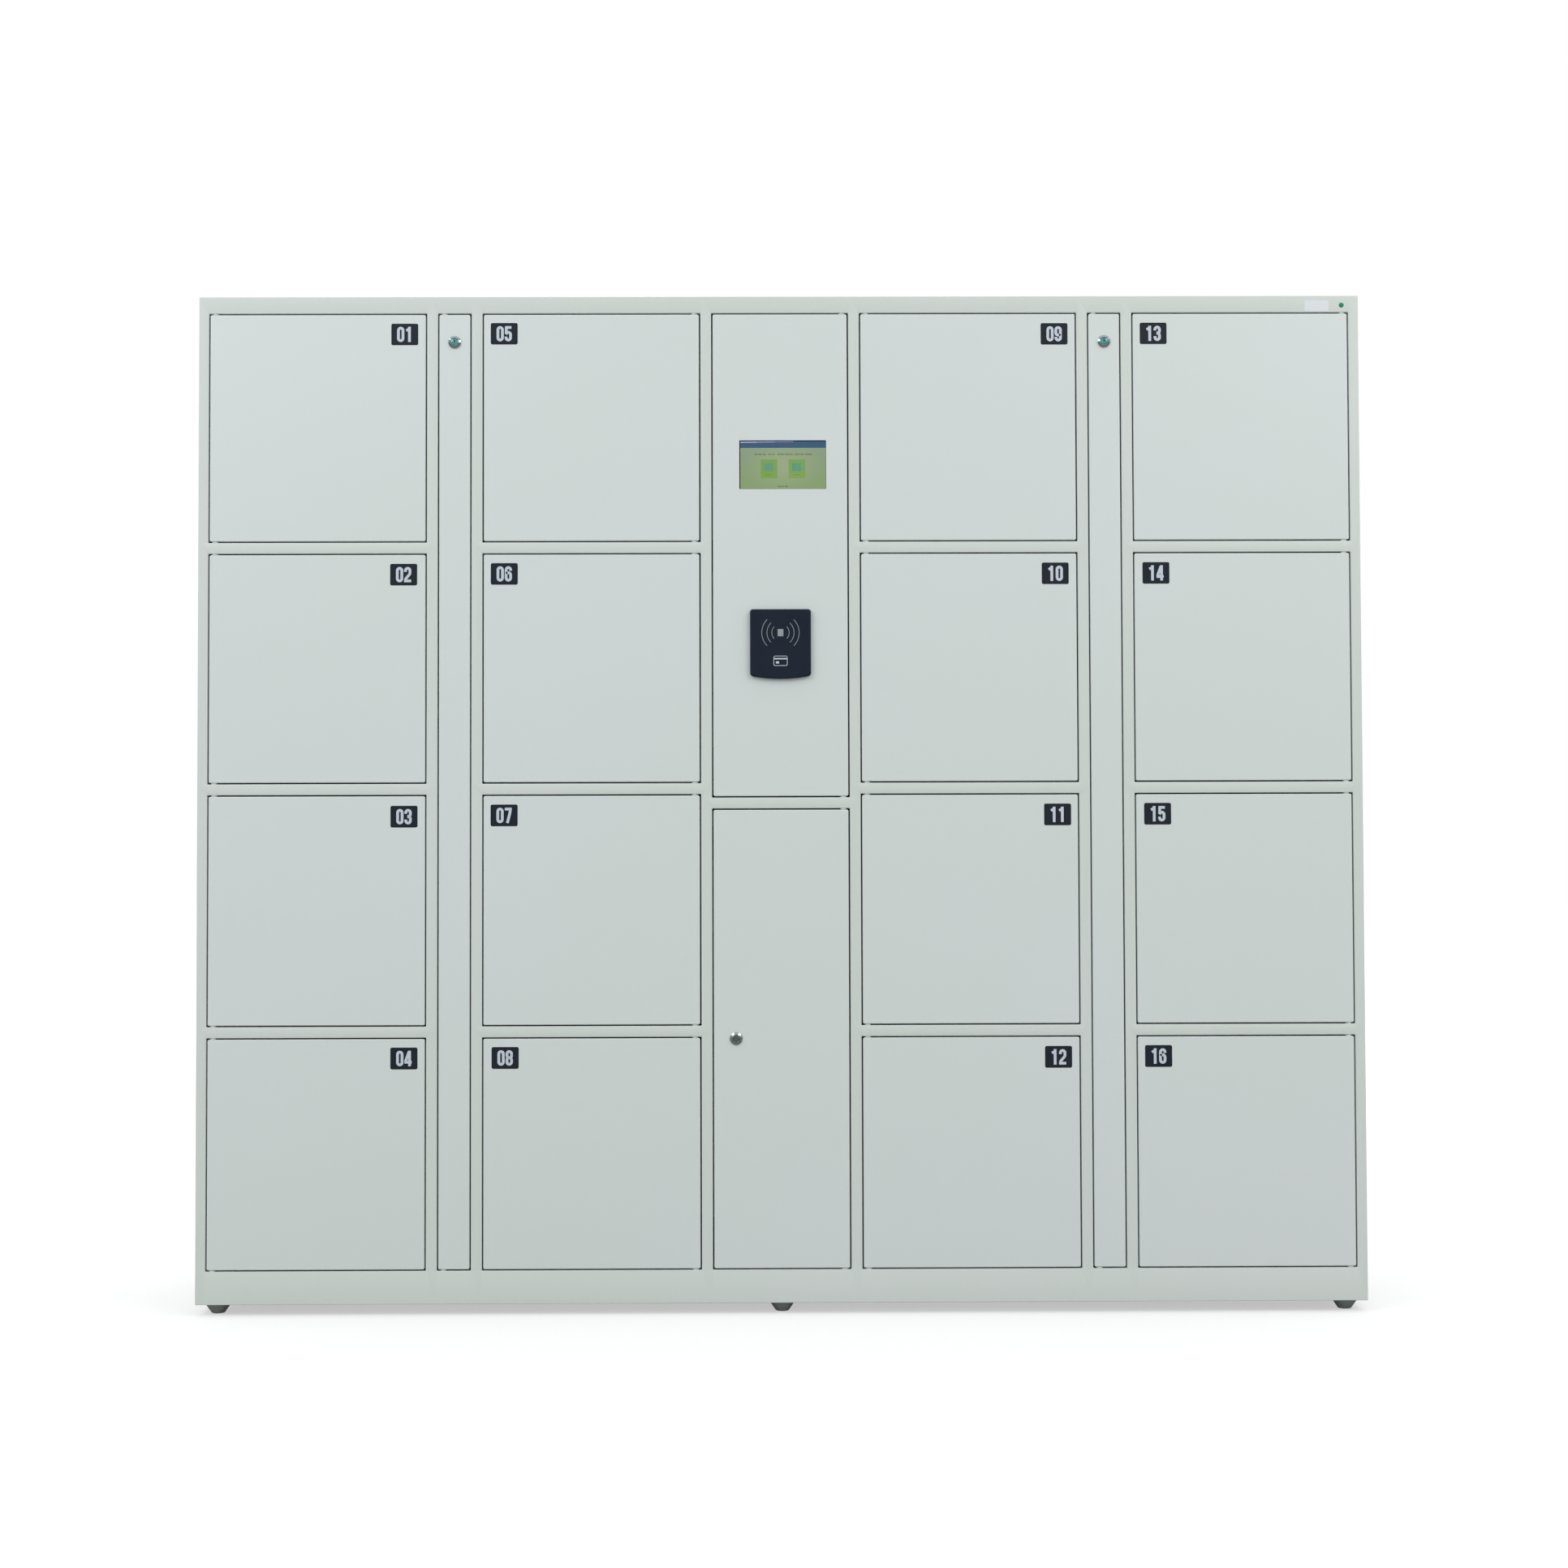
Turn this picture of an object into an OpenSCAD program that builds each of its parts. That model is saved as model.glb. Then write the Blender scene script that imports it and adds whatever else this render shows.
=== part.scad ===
// Parcel locker: a sheet-steel cabinet with four columns of four numbered
// doors, two narrow wiring channels with hinged covers, and a middle column
// with a control door (touch screen and card reader) over a service door.
// Origin: on the floor under the middle of the cabinet. +X runs to the right
// as seen from the front, +Y to the back and +Z up.

/* [Cabinet] */
// Depth of the body from the face of the doors to the back
body_d = 460; // [400:5:600]
// Height of the feet under the body
foot_h = 20; // [16:1:40]
// Width of the outer stile beside the first and last column
stile_w = 19; // [14:1:30]
// Width of the mullions between columns
mullion_w = 22; // [20:1:30]
// Height of the top rail
top_rail_h = 31; // [24:1:50]
// Height of the base rail
base_rail_h = 60; // [50:1:100]
// Height of the rails between doors
rail_h = 22; // [20:1:30]
// Depth of the tubes of the face frame
frame_d = 20; // [20:1:24]

/* [Parcel doors] */
// Width of a door opening, between the middles of its gaps
door_w = 389; // [340:1:440]
// Height of a door opening, between the middles of its gaps
door_h = 411; // [360:1:460]
// Gap between a door and the face frame
gap = 2.5; // [2.5:0.1:3]
// Depth of a door from its face to its back
leaf_d = 18; // [18:0.5:18.5]
// Radius of the corners of a door
corner_r = 3; // [1:0.5:5]

/* [Channels and middle column] */
// Width of a wiring channel cover
cover_w = 58; // [56:1:80]
// Width of the control column
control_w = 244; // [230:1:300]
// Height of the service door opening
service_h = 818; // [700:1:900]

/* [Sheet and hinges] */
// Thickness of panels, shelves and door skins
sheet = 1.2; // [1:0.1:1.5]
// Wall of the face frame tubes
tube_wall = 1.5; // [1.2:0.1:2]
// Radius of the hinge pins
pin_r = 3; // [2.5:0.1:3]
// Running clearance around a pin
pin_fit = 0.05; // [0.02:0.01:0.1]
// Distance of a hinge pin from the hinge edge of its door
pin_inset = 9; // [8.5:0.5:10]
// Distance of a hinge pin behind the face of its door
pin_depth = 6; // [6:0.5:6.5]

/* [Screen and card reader] */
// Width of the screen's picture
screen_w = 154; // [140:1:160]
// Height of the screen's picture
screen_h = 86; // [80:1:100]
// Distance from the top of the control door opening to the picture
screen_drop = 230; // [150:1:300]
// Distance of the screen's middle to the right of the column's middle
screen_shift = 5; // [0:1:10]
// Width of the card reader
reader_w = 109; // [90:1:120]
// Height of the card reader at its sides
reader_h = 119.5; // [100:0.5:130]
// How far the reader's lower edge bulges down in the middle
reader_bulge = 5.5; // [2:0.5:10]
// How far the card reader stands out from the door
reader_proud = 9; // [6:1:15]
// Distance from the top of the control door opening to the reader
reader_drop = 534; // [450:1:600]

/* [Locks] */
// Radius of a cam lock's round face
lock_r = 11.5; // [11:0.5:13]
// How far a cam lock's face stands out
lock_proud = 4; // [2:0.5:6]
// Distance of the cover locks below the top of their opening
cover_lock_drop = 51; // [46:1:70]
// Distance of the service lock from the left gap of its door
service_lock_inset = 41; // [36:1:46]
// Angle of a released latch lever from straight ahead
latch_rest = 12; // [10:0.5:12]

/* [Hidden] */
rows = 4;
columns = 4;
two_digit_from = 10;
function two_digits(n) = n < two_digit_from ? str("0", n) : str(n);
door_numbers = [for (i = [1 : rows * columns]) two_digits(i)];
frame_nodes = ["frame_stiles", "frame_rails", "side_panels", "top_panel", "base_tray",
    "back_panels", "partitions", "shelves", "door_stops", "hinge_pins", "feet"];
inside_nodes = ["latch_cases", "latch_solenoids", "controller_board", "power_supply", "mains_inlet"];
middle_nodes = ["control_door", "service_door", "touch_screen", "card_reader", "service_lock",
    "service_cam"];
channel_nodes = ["cover_left", "cover_right", "cover_lock_left", "cover_lock_right",
    "cover_cam_left", "cover_cam_right"];

// Distances from the middle of the cabinet to the middles of the gaps
control_half = control_w / 2;
inner_near = control_half + mullion_w;
inner_far = inner_near + door_w;
cover_near = inner_far + mullion_w;
cover_far = cover_near + cover_w;
outer_near = cover_far + mullion_w;
outer_far = outer_near + door_w;
body_half = outer_far + stile_w;
column_left = [-outer_far, -inner_far, inner_near, outer_near];
hinge_side = [-1, 1, -1, 1];
cover_left_edge = [-cover_far, cover_near];

// Heights
body_bottom = foot_h;
opening_bottom = body_bottom + base_rail_h;
opening_h = rows * door_h + (rows - 1) * rail_h;
opening_top = opening_bottom + opening_h;
body_top = opening_top + top_rail_h;
pitch = door_h + rail_h;
service_top = opening_bottom + service_h;
control_bottom = service_top + rail_h;
function row_bottom(row) = opening_bottom + (rows - 1 - row) * pitch;

// Depths: the doors' face is placed so that the whole object is centred
inlet_proud = 3;
front = -(body_d + inlet_proud - reader_proud) / 2;
back = front + body_d;
frame_back = front + frame_d;
panel_back = back - sheet;

// Leaves, each [left gap, right gap, bottom gap, top gap, hinge side]
parcel_leaves = [for (i = [0 : rows * columns - 1])
    let (c = floor(i / rows), r = i % rows)
    [column_left[c], column_left[c] + door_w, row_bottom(r), row_bottom(r) + door_h, hinge_side[c]]];
cover_leaves = [for (x = cover_left_edge) [x, x + cover_w, opening_bottom, opening_top, -1]];
service_leaf = [-control_half, control_half, opening_bottom, service_top, 1];
control_leaf = [-control_half, control_half, control_bottom, opening_top, 1];
all_leaves = concat(parcel_leaves, cover_leaves, [service_leaf, control_leaf]);
function hinge_x(leaf) = leaf[4] < 0
    ? leaf[0] + gap / 2 + pin_inset : leaf[1] - gap / 2 - pin_inset;

// Sheets stand on the middle lines of the mullions and rails
half_mullion = mullion_w / 2;
partition_x = [-outer_near + half_mullion, -cover_near + half_mullion, -inner_near + half_mullion,
    inner_near - half_mullion, cover_near - half_mullion, outer_near - half_mullion];
bay_left = [-body_half + sheet / 2, partition_x[1], partition_x[3], partition_x[5]];
bay_right = [partition_x[0], partition_x[2], partition_x[4], body_half - sheet / 2];
// The partition that carries each column's latches
latch_partition = [partition_x[0], partition_x[1], partition_x[4], partition_x[5]];

// Hinge pins
washer_r = 5.5;
washer_play = 0.2;
pin_head_r = 4.5;
pin_head_h = 1.6;
pin_reach = 8;

// Door inside
weld_film = 0.05;
lip = 12;
strike_t = 2;
strike_edge = 2;
strike_half_h = 16;
strike_foot_w = 28;
strike_reach = 56;
window_depth = 33;
window_l = 18;
window_half_h = 5;

// Latch lever and its case, measured from the partition and the doors' face
lever_r = 41.8;
lever_half_w = 4;
lever_t = 4;
hub_r = 8;
latch_out = 14;
latch_depth = 70;
slot_near = 24;
slot_far = 65;
slot_half_h = 4;
case_w = 26;
case_near = 24;
case_far = 96;
case_half_h = 9;
case_t = 1.5;
case_play = 0.65;
ear_near = 68;
ear_half_h = 22;
collar_r = 5;
collar_play = 0.3;
coil_r = 9;
coil_near = 98;
coil_l = 32;
plunger_r = 2.5;
plunger_near = 80;

// Door stops
stop_reach = 10;
stop_t = 2;
stop_l = 60;
stop_margin = 30;
stop_clear = 1;
pad_r = 4;
pad_play = 0.3;

// Cam locks
plug_r = 6;
plug_fit = 0.05;
barrel_r = 9.25;
barrel_hole_r = 9.4;
face_bevel = 1;
barrel_end = 22;
nut_r = 12.5;
nut_t = 5;
hex_sides = 6;
cam_depth = 22.5;
cam_t = 2;
cam_half_w = 4;
cover_cam_l = 22;
service_cam_l = 33;
cam_screw_r = 4;
cam_screw_h = 4;
keyway = [1.8, 8, 6];

// Feet
foot_x = body_half - 33;
foot_inset = 40;
foot_top_r = 22.5;
foot_bottom_r = 12;
foot_rim = 4;
stud_r = 5;
stud_top = foot_h + 36;
stud_hole_r = 5.5;
beam_w = 60;
beam_h = 26.5;

// Screen and reader
window_margin = 1;
glass_margin = 5;
glass_t = 3;
screen_case_margin = 10;
screen_case_d = 24;
screen_mid_z = opening_top - screen_drop - screen_h / 2;
reader_top = opening_top - reader_drop;
reader_corner = 4;
reader_bevel = 1.5;
reader_foot_t = 7;
cable_hole_r = 8;
spigot_r = 7.5;
spigot_l = 14;

// Fixing holes
fixing_r = 4.5;
wall_fixing_x = body_half - 102;
fixing_low_z = 300;
fixing_high_z = 1740;
joining_depths = [80, 380];
cable_entry_r = 12.5;
cable_entry_at = [70, 130];

// Electrical parts
board_w = 180;
board_h = 240;
board_t = 1.6;
board_z = 1200;
standoff_l = 12;
standoff_r = 3;
standoff_inset = 8;
psu = [112, 50, 215];
psu_z = 250;
inlet_flange = [50, 31];
inlet_case = [28, 20];
inlet_case_d = 30;
inlet_z = 130;
socket_d = 16;
socket = [24, 16];
blade = [2, 4, 12];

steps = 6;
round_fn = 64;
over = 1;

// ---- Shared shapes ----

function corner_arc(cx, cy, r, from) =
    [for (k = [0 : steps]) [cx + r * cos(from + 90 * k / steps), cy + r * sin(from + 90 * k / steps)]];

// Corner points of a rectangle with rounded corners
function rounded(x0, z0, x1, z1, r) = concat(
    corner_arc(x1 - r, z1 - r, r, 0), corner_arc(x0 + r, z1 - r, r, 90),
    corner_arc(x0 + r, z0 + r, r, 180), corner_arc(x1 - r, z0 + r, r, 270));

// A box from its low and high corners
module block(low, high) translate(low) cube(high - low);

// Turns a shape drawn upwards so that it runs into the cabinet from the doors' face
module inwards(x, z) translate([x, front, z]) rotate([-90, 0, 0]) children();

// A flat outline in X and Z, as deep as d, starting at y
module slab(outline, y, d)
    translate([0, y + d, 0]) rotate([90, 0, 0]) linear_extrude(d) polygon(outline);

// ---- Doors and covers ----

module leaf_outside(leaf)
    slab(rounded(leaf[0] + gap / 2, leaf[2] + gap / 2, leaf[1] - gap / 2, leaf[3] - gap / 2, corner_r),
        front, leaf_d);

module leaf_inside(leaf, from_edge, y0, y1)
    block([leaf[0] + gap / 2 + from_edge, y0, leaf[2] + gap / 2 + from_edge],
        [leaf[1] - gap / 2 - from_edge, y1, leaf[3] - gap / 2 - from_edge]);

module leaf_pin_holes(leaf)
    for (z = [leaf[2], leaf[3]])
        translate([hinge_x(leaf), front + pin_depth, z - pin_reach])
            cylinder(h = 2 * pin_reach, r = pin_r + pin_fit, $fn = round_fn);

// Double-skinned door, hollow between its skins
module closed_leaf(leaf)
    difference() {
        leaf_outside(leaf);
        leaf_inside(leaf, sheet, front + sheet, front + leaf_d - sheet);
        leaf_pin_holes(leaf);
    }

// Folded tray with a lip around its open back
module open_leaf(leaf)
    difference() {
        leaf_outside(leaf);
        leaf_inside(leaf, sheet, front + sheet, front + leaf_d - sheet);
        leaf_inside(leaf, lip, front + leaf_d - 2 * sheet, front + leaf_d + over);
        leaf_pin_holes(leaf);
    }

// Angle on the back of a door, with the window that the latch lever enters
module strike() {
    edge = half_mullion + gap / 2 + strike_edge;
    near = leaf_d + weld_film;
    difference() {
        union() {
            block([edge, near, -strike_half_h], [edge + strike_t, strike_reach, strike_half_h]);
            block([edge, near, -strike_half_h],
                [edge + strike_foot_w, near + strike_t, strike_half_h]);
        }
        block([edge - over, window_depth, -window_half_h],
            [edge + strike_t + over, window_depth + window_l, window_half_h]);
    }
}

// Places a shape drawn at a latch: +X into the compartment, +Y from the doors' face
module at_latch(i) {
    c = floor(i / rows);
    mid_z = (parcel_leaves[i][2] + parcel_leaves[i][3]) / 2;
    translate([latch_partition[c], front, mid_z])
        if (hinge_side[c] < 0) mirror([1, 0, 0]) children();
        else children();
}

module door(i) color([0.83, 0.86, 0.85]) {
    closed_leaf(parcel_leaves[i]);
    at_latch(i) strike();
}

module cover(k) color([0.83, 0.86, 0.85])
    difference() {
        open_leaf(cover_leaves[k]);
        inwards(lock_x(k), opening_top - cover_lock_drop)
            translate([0, 0, -over]) cylinder(h = sheet + 2 * over, r = barrel_hole_r, $fn = round_fn);
    }

module service_door() color([0.83, 0.86, 0.85])
    difference() {
        open_leaf(service_leaf);
        inwards(service_lock_x, service_lock_z)
            translate([0, 0, -over]) cylinder(h = sheet + 2 * over, r = barrel_hole_r, $fn = round_fn);
    }

module control_door() color([0.83, 0.86, 0.85])
    difference() {
        open_leaf(control_leaf);
        slab(rounded(screen_shift - screen_w / 2 - window_margin, screen_mid_z - screen_h / 2 - window_margin,
            screen_shift + screen_w / 2 + window_margin, screen_mid_z + screen_h / 2 + window_margin, 1),
            front - over, sheet + 2 * over);
        inwards(0, reader_top - reader_h / 2)
            translate([0, 0, -over]) cylinder(h = sheet + 2 * over, r = cable_hole_r, $fn = round_fn);
    }

// ---- Cam locks ----

function lock_x(k) = (cover_leaves[k][0] + cover_leaves[k][1]) / 2;
service_lock_x = -control_half + service_lock_inset;
service_lock_z = opening_bottom + service_h / 2;

// Round face, barrel and hexagon nut of a cam lock
module lock_body() color([0.8, 0.82, 0.83]) {
    rotate_extrude($fn = round_fn) polygon([
        [plug_r + plug_fit, -lock_proud], [lock_r - face_bevel, -lock_proud],
        [lock_r, face_bevel - lock_proud], [lock_r, 0], [barrel_r, 0],
        [barrel_r, barrel_end], [plug_r + plug_fit, barrel_end]]);
    translate([0, 0, sheet + weld_film]) difference() {
        cylinder(h = nut_t, r = nut_r, $fn = hex_sides);
        translate([0, 0, -over]) cylinder(h = nut_t + 2 * over, r = barrel_r + plug_fit, $fn = round_fn);
    }
}

// Turning plug with its keyway, the cam on its end and the cam's screw
module lock_plug(cam_l, keyway_turn) color([0.75, 0.77, 0.78]) {
    difference() {
        translate([0, 0, -lock_proud])
            cylinder(h = lock_proud + cam_depth - weld_film, r = plug_r, $fn = round_fn);
        rotate([0, 0, keyway_turn]) translate([-keyway[0] / 2, -keyway[1] / 2, -lock_proud - over])
            cube([keyway[0], keyway[1], keyway[2] + over]);
    }
    translate([0, 0, cam_depth]) {
        cylinder(h = cam_t, r = barrel_r, $fn = round_fn);
        translate([-cam_half_w, 0, 0]) cube([2 * cam_half_w, cam_l, cam_t]);
        translate([0, cam_l, 0]) cylinder(h = cam_t, r = cam_half_w, $fn = round_fn);
        cylinder(h = cam_t + cam_screw_h, r = cam_screw_r, $fn = round_fn);
    }
}

module cover_lock(k) inwards(lock_x(k), opening_top - cover_lock_drop) lock_body();
module cover_cam(k) inwards(lock_x(k), opening_top - cover_lock_drop) lock_plug(cover_cam_l, 0);
module service_lock() inwards(service_lock_x, service_lock_z) lock_body();
module service_cam() inwards(service_lock_x, service_lock_z) lock_plug(service_cam_l, 90);

// ---- Screen and card reader ----

module touch_screen() color([0.12, 0.13, 0.15]) {
    glass_y = front + sheet + weld_film;
    case_y = glass_y + glass_t;
    slab(rounded(screen_shift - screen_w / 2 - glass_margin, screen_mid_z - screen_h / 2 - glass_margin,
        screen_shift + screen_w / 2 + glass_margin, screen_mid_z + screen_h / 2 + glass_margin, 2),
        glass_y, glass_t);
    slab(rounded(screen_shift - screen_w / 2 - screen_case_margin,
        screen_mid_z - screen_h / 2 - screen_case_margin,
        screen_shift + screen_w / 2 + screen_case_margin,
        screen_mid_z + screen_h / 2 + screen_case_margin, 4),
        case_y, screen_case_d);
}

// Outline with square shoulders and a lower edge that bulges down
function reader_outline(inset) =
    let (w = reader_w / 2 - inset, r = reader_corner,
        top = reader_top - inset, low = reader_top - reader_h + inset, bulge_steps = 4 * steps)
    concat(
        corner_arc(w - r, top - r, r, 0), corner_arc(-w + r, top - r, r, 90),
        [[-w, low + r]],
        [for (k = [0 : bulge_steps]) let (x = -w + r / 2 + (2 * w - r) * k / bulge_steps)
            [x, low - reader_bulge * (1 - pow(x / w, 2))]],
        [[w, low + r]]);

module card_reader() color([0.15, 0.17, 0.22]) {
    slab(reader_outline(reader_bevel), front - reader_proud, reader_proud - reader_foot_t + over);
    slab(reader_outline(0), front - reader_foot_t, reader_foot_t);
    inwards(0, reader_top - reader_h / 2)
        translate([0, 0, -over]) cylinder(h = spigot_l + over, r = spigot_r, $fn = round_fn);
}

// ---- Face frame ----

// Upright tube, open at both ends
module upright_tube(x0, x1)
    difference() {
        block([x0, front, opening_bottom - gap / 2], [x1, frame_back, opening_top + gap / 2]);
        block([x0 + tube_wall, front + tube_wall, opening_bottom - gap / 2 - over],
            [x1 - tube_wall, frame_back - tube_wall, opening_top + gap / 2 + over]);
    }

module frame_stiles() color([0.83, 0.86, 0.85]) {
    for (side = [-1, 1])
        upright_tube(min(side * body_half, side * (outer_far + gap / 2)),
            max(side * body_half, side * (outer_far + gap / 2)));
    for (x = partition_x)
        upright_tube(x - half_mullion + gap / 2, x + half_mullion - gap / 2);
}

// Level tube, closed by end walls or, with an end_wall below zero, open
module level_tube(x0, x1, z0, z1, end_wall = -over)
    difference() {
        block([x0, front, z0], [x1, frame_back, z1]);
        block([x0 + end_wall, front + tube_wall, z0 + tube_wall],
            [x1 - end_wall, frame_back - tube_wall, z1 - tube_wall]);
    }

module frame_rails() color([0.83, 0.86, 0.85])
    difference() {
        union() {
            level_tube(-body_half, body_half, body_bottom, opening_bottom - gap / 2, tube_wall);
            level_tube(-body_half, body_half, opening_top + gap / 2, body_top - sheet, tube_wall);
            level_tube(-control_half - gap / 2, control_half + gap / 2,
                service_top + gap / 2, control_bottom - gap / 2);
            for (x = column_left, row = [0 : rows - 2])
                level_tube(x - gap / 2, x + door_w + gap / 2,
                    row_bottom(row) - rail_h + gap / 2, row_bottom(row) - gap / 2);
        }
        for (leaf = all_leaves) rail_pin_holes(leaf);
    }

module rail_pin_holes(leaf) {
    hole_h = 2 * tube_wall + gap;
    for (z = [leaf[2] - gap / 2 - 2 * tube_wall, leaf[3] + gap / 2 - gap])
        translate([hinge_x(leaf), front + pin_depth, z])
            cylinder(h = hole_h, r = pin_r + pin_fit, $fn = round_fn);
}

// Pin with a head inside the tube, a washer in the gap and a nose in the door
module hinge_pin() {
    head_z = -gap / 2 - tube_wall - pin_head_h;
    translate([0, 0, head_z]) cylinder(h = pin_head_h, r = pin_head_r, $fn = round_fn);
    translate([0, 0, head_z])
        cylinder(h = pin_head_h + tube_wall + gap + pin_reach, r = pin_r, $fn = round_fn);
    translate([0, 0, -gap / 2]) cylinder(h = gap - washer_play, r = washer_r, $fn = round_fn);
}

module hinge_pins() color([0.7, 0.71, 0.72])
    for (leaf = all_leaves) translate([hinge_x(leaf), front + pin_depth, 0]) {
        translate([0, 0, leaf[2]]) hinge_pin();
        translate([0, 0, leaf[3]]) mirror([0, 0, 1]) hinge_pin();
    }

// ---- Panels ----

module side_panels() color([0.83, 0.86, 0.85])
    for (side = [-1, 1]) difference() {
        block([min(side * body_half, side * (body_half - sheet)), frame_back, body_bottom],
            [max(side * body_half, side * (body_half - sheet)), back, body_top - sheet]);
        for (d = joining_depths, z = [fixing_low_z, fixing_high_z])
            translate([side * body_half, front + d, z]) rotate([0, 90, 0])
                cylinder(h = 4 * sheet, r = fixing_r, center = true, $fn = round_fn);
    }

module top_panel() color([0.83, 0.86, 0.85])
    block([-body_half, front, body_top - sheet], [body_half, back, body_top]);

module back_panels() color([0.83, 0.86, 0.85]) {
    seams = [-body_half + sheet, partition_x[2], partition_x[3], body_half - sheet];
    difference() {
        for (k = [0 : 2])
            block([seams[k] + (k > 0 ? gap / 4 : 0), panel_back, body_bottom],
                [seams[k + 1] - (k < 2 ? gap / 4 : 0), back, body_top - sheet]);
        for (x = [-wall_fixing_x, wall_fixing_x], z = [fixing_low_z, fixing_high_z])
            translate([x, back, z]) rotate([90, 0, 0])
                cylinder(h = 4 * sheet, r = fixing_r, center = true, $fn = round_fn);
        translate([cable_entry_at[0], back, cable_entry_at[1]]) rotate([90, 0, 0])
            cylinder(h = 4 * sheet, r = cable_entry_r, center = true, $fn = round_fn);
        block([-inlet_case[0] / 2 - 1, panel_back - over, inlet_z - inlet_case[1] / 2 - 1],
            [inlet_case[0] / 2 + 1, back + over, inlet_z + inlet_case[1] / 2 + 1]);
    }
}

module partitions() color([0.8, 0.83, 0.82])
    difference() {
        for (x = partition_x)
            block([x - sheet / 2, frame_back, body_bottom + tube_wall],
                [x + sheet / 2, panel_back, body_top - sheet]);
        for (i = [0 : rows * columns - 1]) at_latch(i)
            block([-sheet, slot_near, -slot_half_h], [sheet, slot_far, slot_half_h]);
    }

// Sheets at the middle of each rail, and floors level with the base rail
module shelves() color([0.8, 0.83, 0.82]) {
    floor_z = opening_bottom - gap / 2 - sheet;
    for (c = [0 : columns - 1]) {
        for (row = [0 : rows - 2])
            shelf(bay_left[c], bay_right[c], row_bottom(row) - rail_h / 2 - sheet / 2);
        shelf(bay_left[c], bay_right[c], floor_z);
    }
    shelf(partition_x[2], partition_x[3], floor_z);
    shelf(partition_x[2], partition_x[3], service_top + rail_h / 2 - sheet / 2);
}

module shelf(x0, x1, z)
    block([x0 + sheet / 2, frame_back, z], [x1 - sheet / 2, panel_back, z + sheet]);

// Channel-shaped beam across the tray, over a pair of feet
module tray_beam(x)
    translate([x - beam_w / 2, frame_back, body_bottom + tube_wall + weld_film]) difference() {
        cube([beam_w, body_d - frame_d - sheet, beam_h]);
        translate([tube_wall, -over, -over])
            cube([beam_w - 2 * tube_wall, body_d, beam_h - tube_wall + over]);
    }

module base_tray() color([0.8, 0.83, 0.82])
    difference() {
        union() {
            block([-body_half + sheet, frame_back, body_bottom],
                [body_half - sheet, panel_back, body_bottom + tube_wall]);
            for (x = [-foot_x + beam_w / 4, 0, foot_x - beam_w / 4]) tray_beam(x);
        }
        for (x = [-foot_x, 0, foot_x], y = [front + foot_inset, back - foot_inset])
            translate([x, y, body_bottom - over])
                cylinder(h = stud_top - foot_h, r = stud_hole_r, $fn = round_fn);
    }

module feet() color([0.42, 0.43, 0.44])
    for (x = [-foot_x, 0, foot_x], y = [front + foot_inset, back - foot_inset])
        translate([x, y, 0]) rotate_extrude($fn = round_fn) polygon([
            [0, 0], [foot_bottom_r, 0], [foot_top_r, foot_h - foot_rim], [foot_top_r, foot_h],
            [stud_r, foot_h], [stud_r, stud_top], [0, stud_top]]);

// ---- Door stops ----

// Strip on the back of a mullion at x, reaching past its edge on one side
module stop_strip(x, side, z) {
    reach = half_mullion - gap / 2 + stop_reach;
    translate([x, frame_back, z]) if (side < 0) mirror([1, 0, 0]) stop_shape(reach);
    else stop_shape(reach);
}

module stop_shape(reach) {
    block([stop_clear, 0, 0], [reach, stop_t, stop_l]);
    for (z = [stop_l / 4, 3 * stop_l / 4])
        translate([reach - stop_reach / 2, 0, z]) rotate([90, 0, 0])
            cylinder(h = frame_d - leaf_d - pad_play, r = pad_r, $fn = round_fn);
}

module door_stops() color([0.3, 0.31, 0.32]) {
    for (i = [0 : rows * columns - 1]) {
        c = floor(i / rows);
        leaf = parcel_leaves[i];
        for (z = [leaf[2] + stop_margin, leaf[3] - stop_margin - stop_l])
            stop_strip(latch_partition[c], hinge_side[c], z);
    }
    for (k = [0, 1], row = [0 : rows - 1])
        stop_strip(cover_leaves[k][1] + half_mullion, -1, row_bottom(row) + door_h - stop_margin - stop_l);
    for (leaf = [service_leaf, control_leaf])
        for (z = [leaf[2] + stop_margin, (leaf[2] + leaf[3] - stop_l) / 2, leaf[3] - stop_margin - stop_l])
            stop_strip(partition_x[2], 1, z);
}

// ---- Electric latches ----

module latch(i) color([0.72, 0.73, 0.74]) at_latch(i)
    translate([-latch_out, latch_depth, -lever_t / 2]) rotate([0, 0, latch_rest]) difference() {
        union() {
            cylinder(h = lever_t, r = hub_r, $fn = round_fn);
            translate([-lever_half_w, -lever_r, 0]) cube([2 * lever_half_w, lever_r, lever_t]);
            translate([0, -lever_r, 0]) cylinder(h = lever_t, r = lever_half_w, $fn = round_fn);
        }
        translate([0, 0, -over]) cylinder(h = lever_t + 2 * over, r = pin_r + pin_fit, $fn = round_fn);
    }

// Open case with the lever's pin and two ears against the partition
module latch_case() {
    for (side = [-1, 1]) {
        block([-case_w, case_near, min(side * case_half_h, side * (case_half_h + case_t))],
            [-case_play, case_far, max(side * case_half_h, side * (case_half_h + case_t))]);
        block([-case_play - case_t, ear_near, min(side * case_half_h, side * ear_half_h)],
            [-case_play, case_far, max(side * case_half_h, side * ear_half_h)]);
        translate([-latch_out, latch_depth, side > 0 ? lever_t / 2 + collar_play : -case_half_h])
            cylinder(h = case_half_h - lever_t / 2 - collar_play, r = collar_r, $fn = round_fn);
    }
    block([-case_w - case_t, case_near, -case_half_h - case_t],
        [-case_w, case_far, case_half_h + case_t]);
    translate([-latch_out, latch_depth, -case_half_h])
        cylinder(h = 2 * case_half_h, r = pin_r, $fn = round_fn);
}

module latch_cases() color([0.62, 0.63, 0.65])
    for (i = [0 : rows * columns - 1]) at_latch(i) latch_case();

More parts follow.
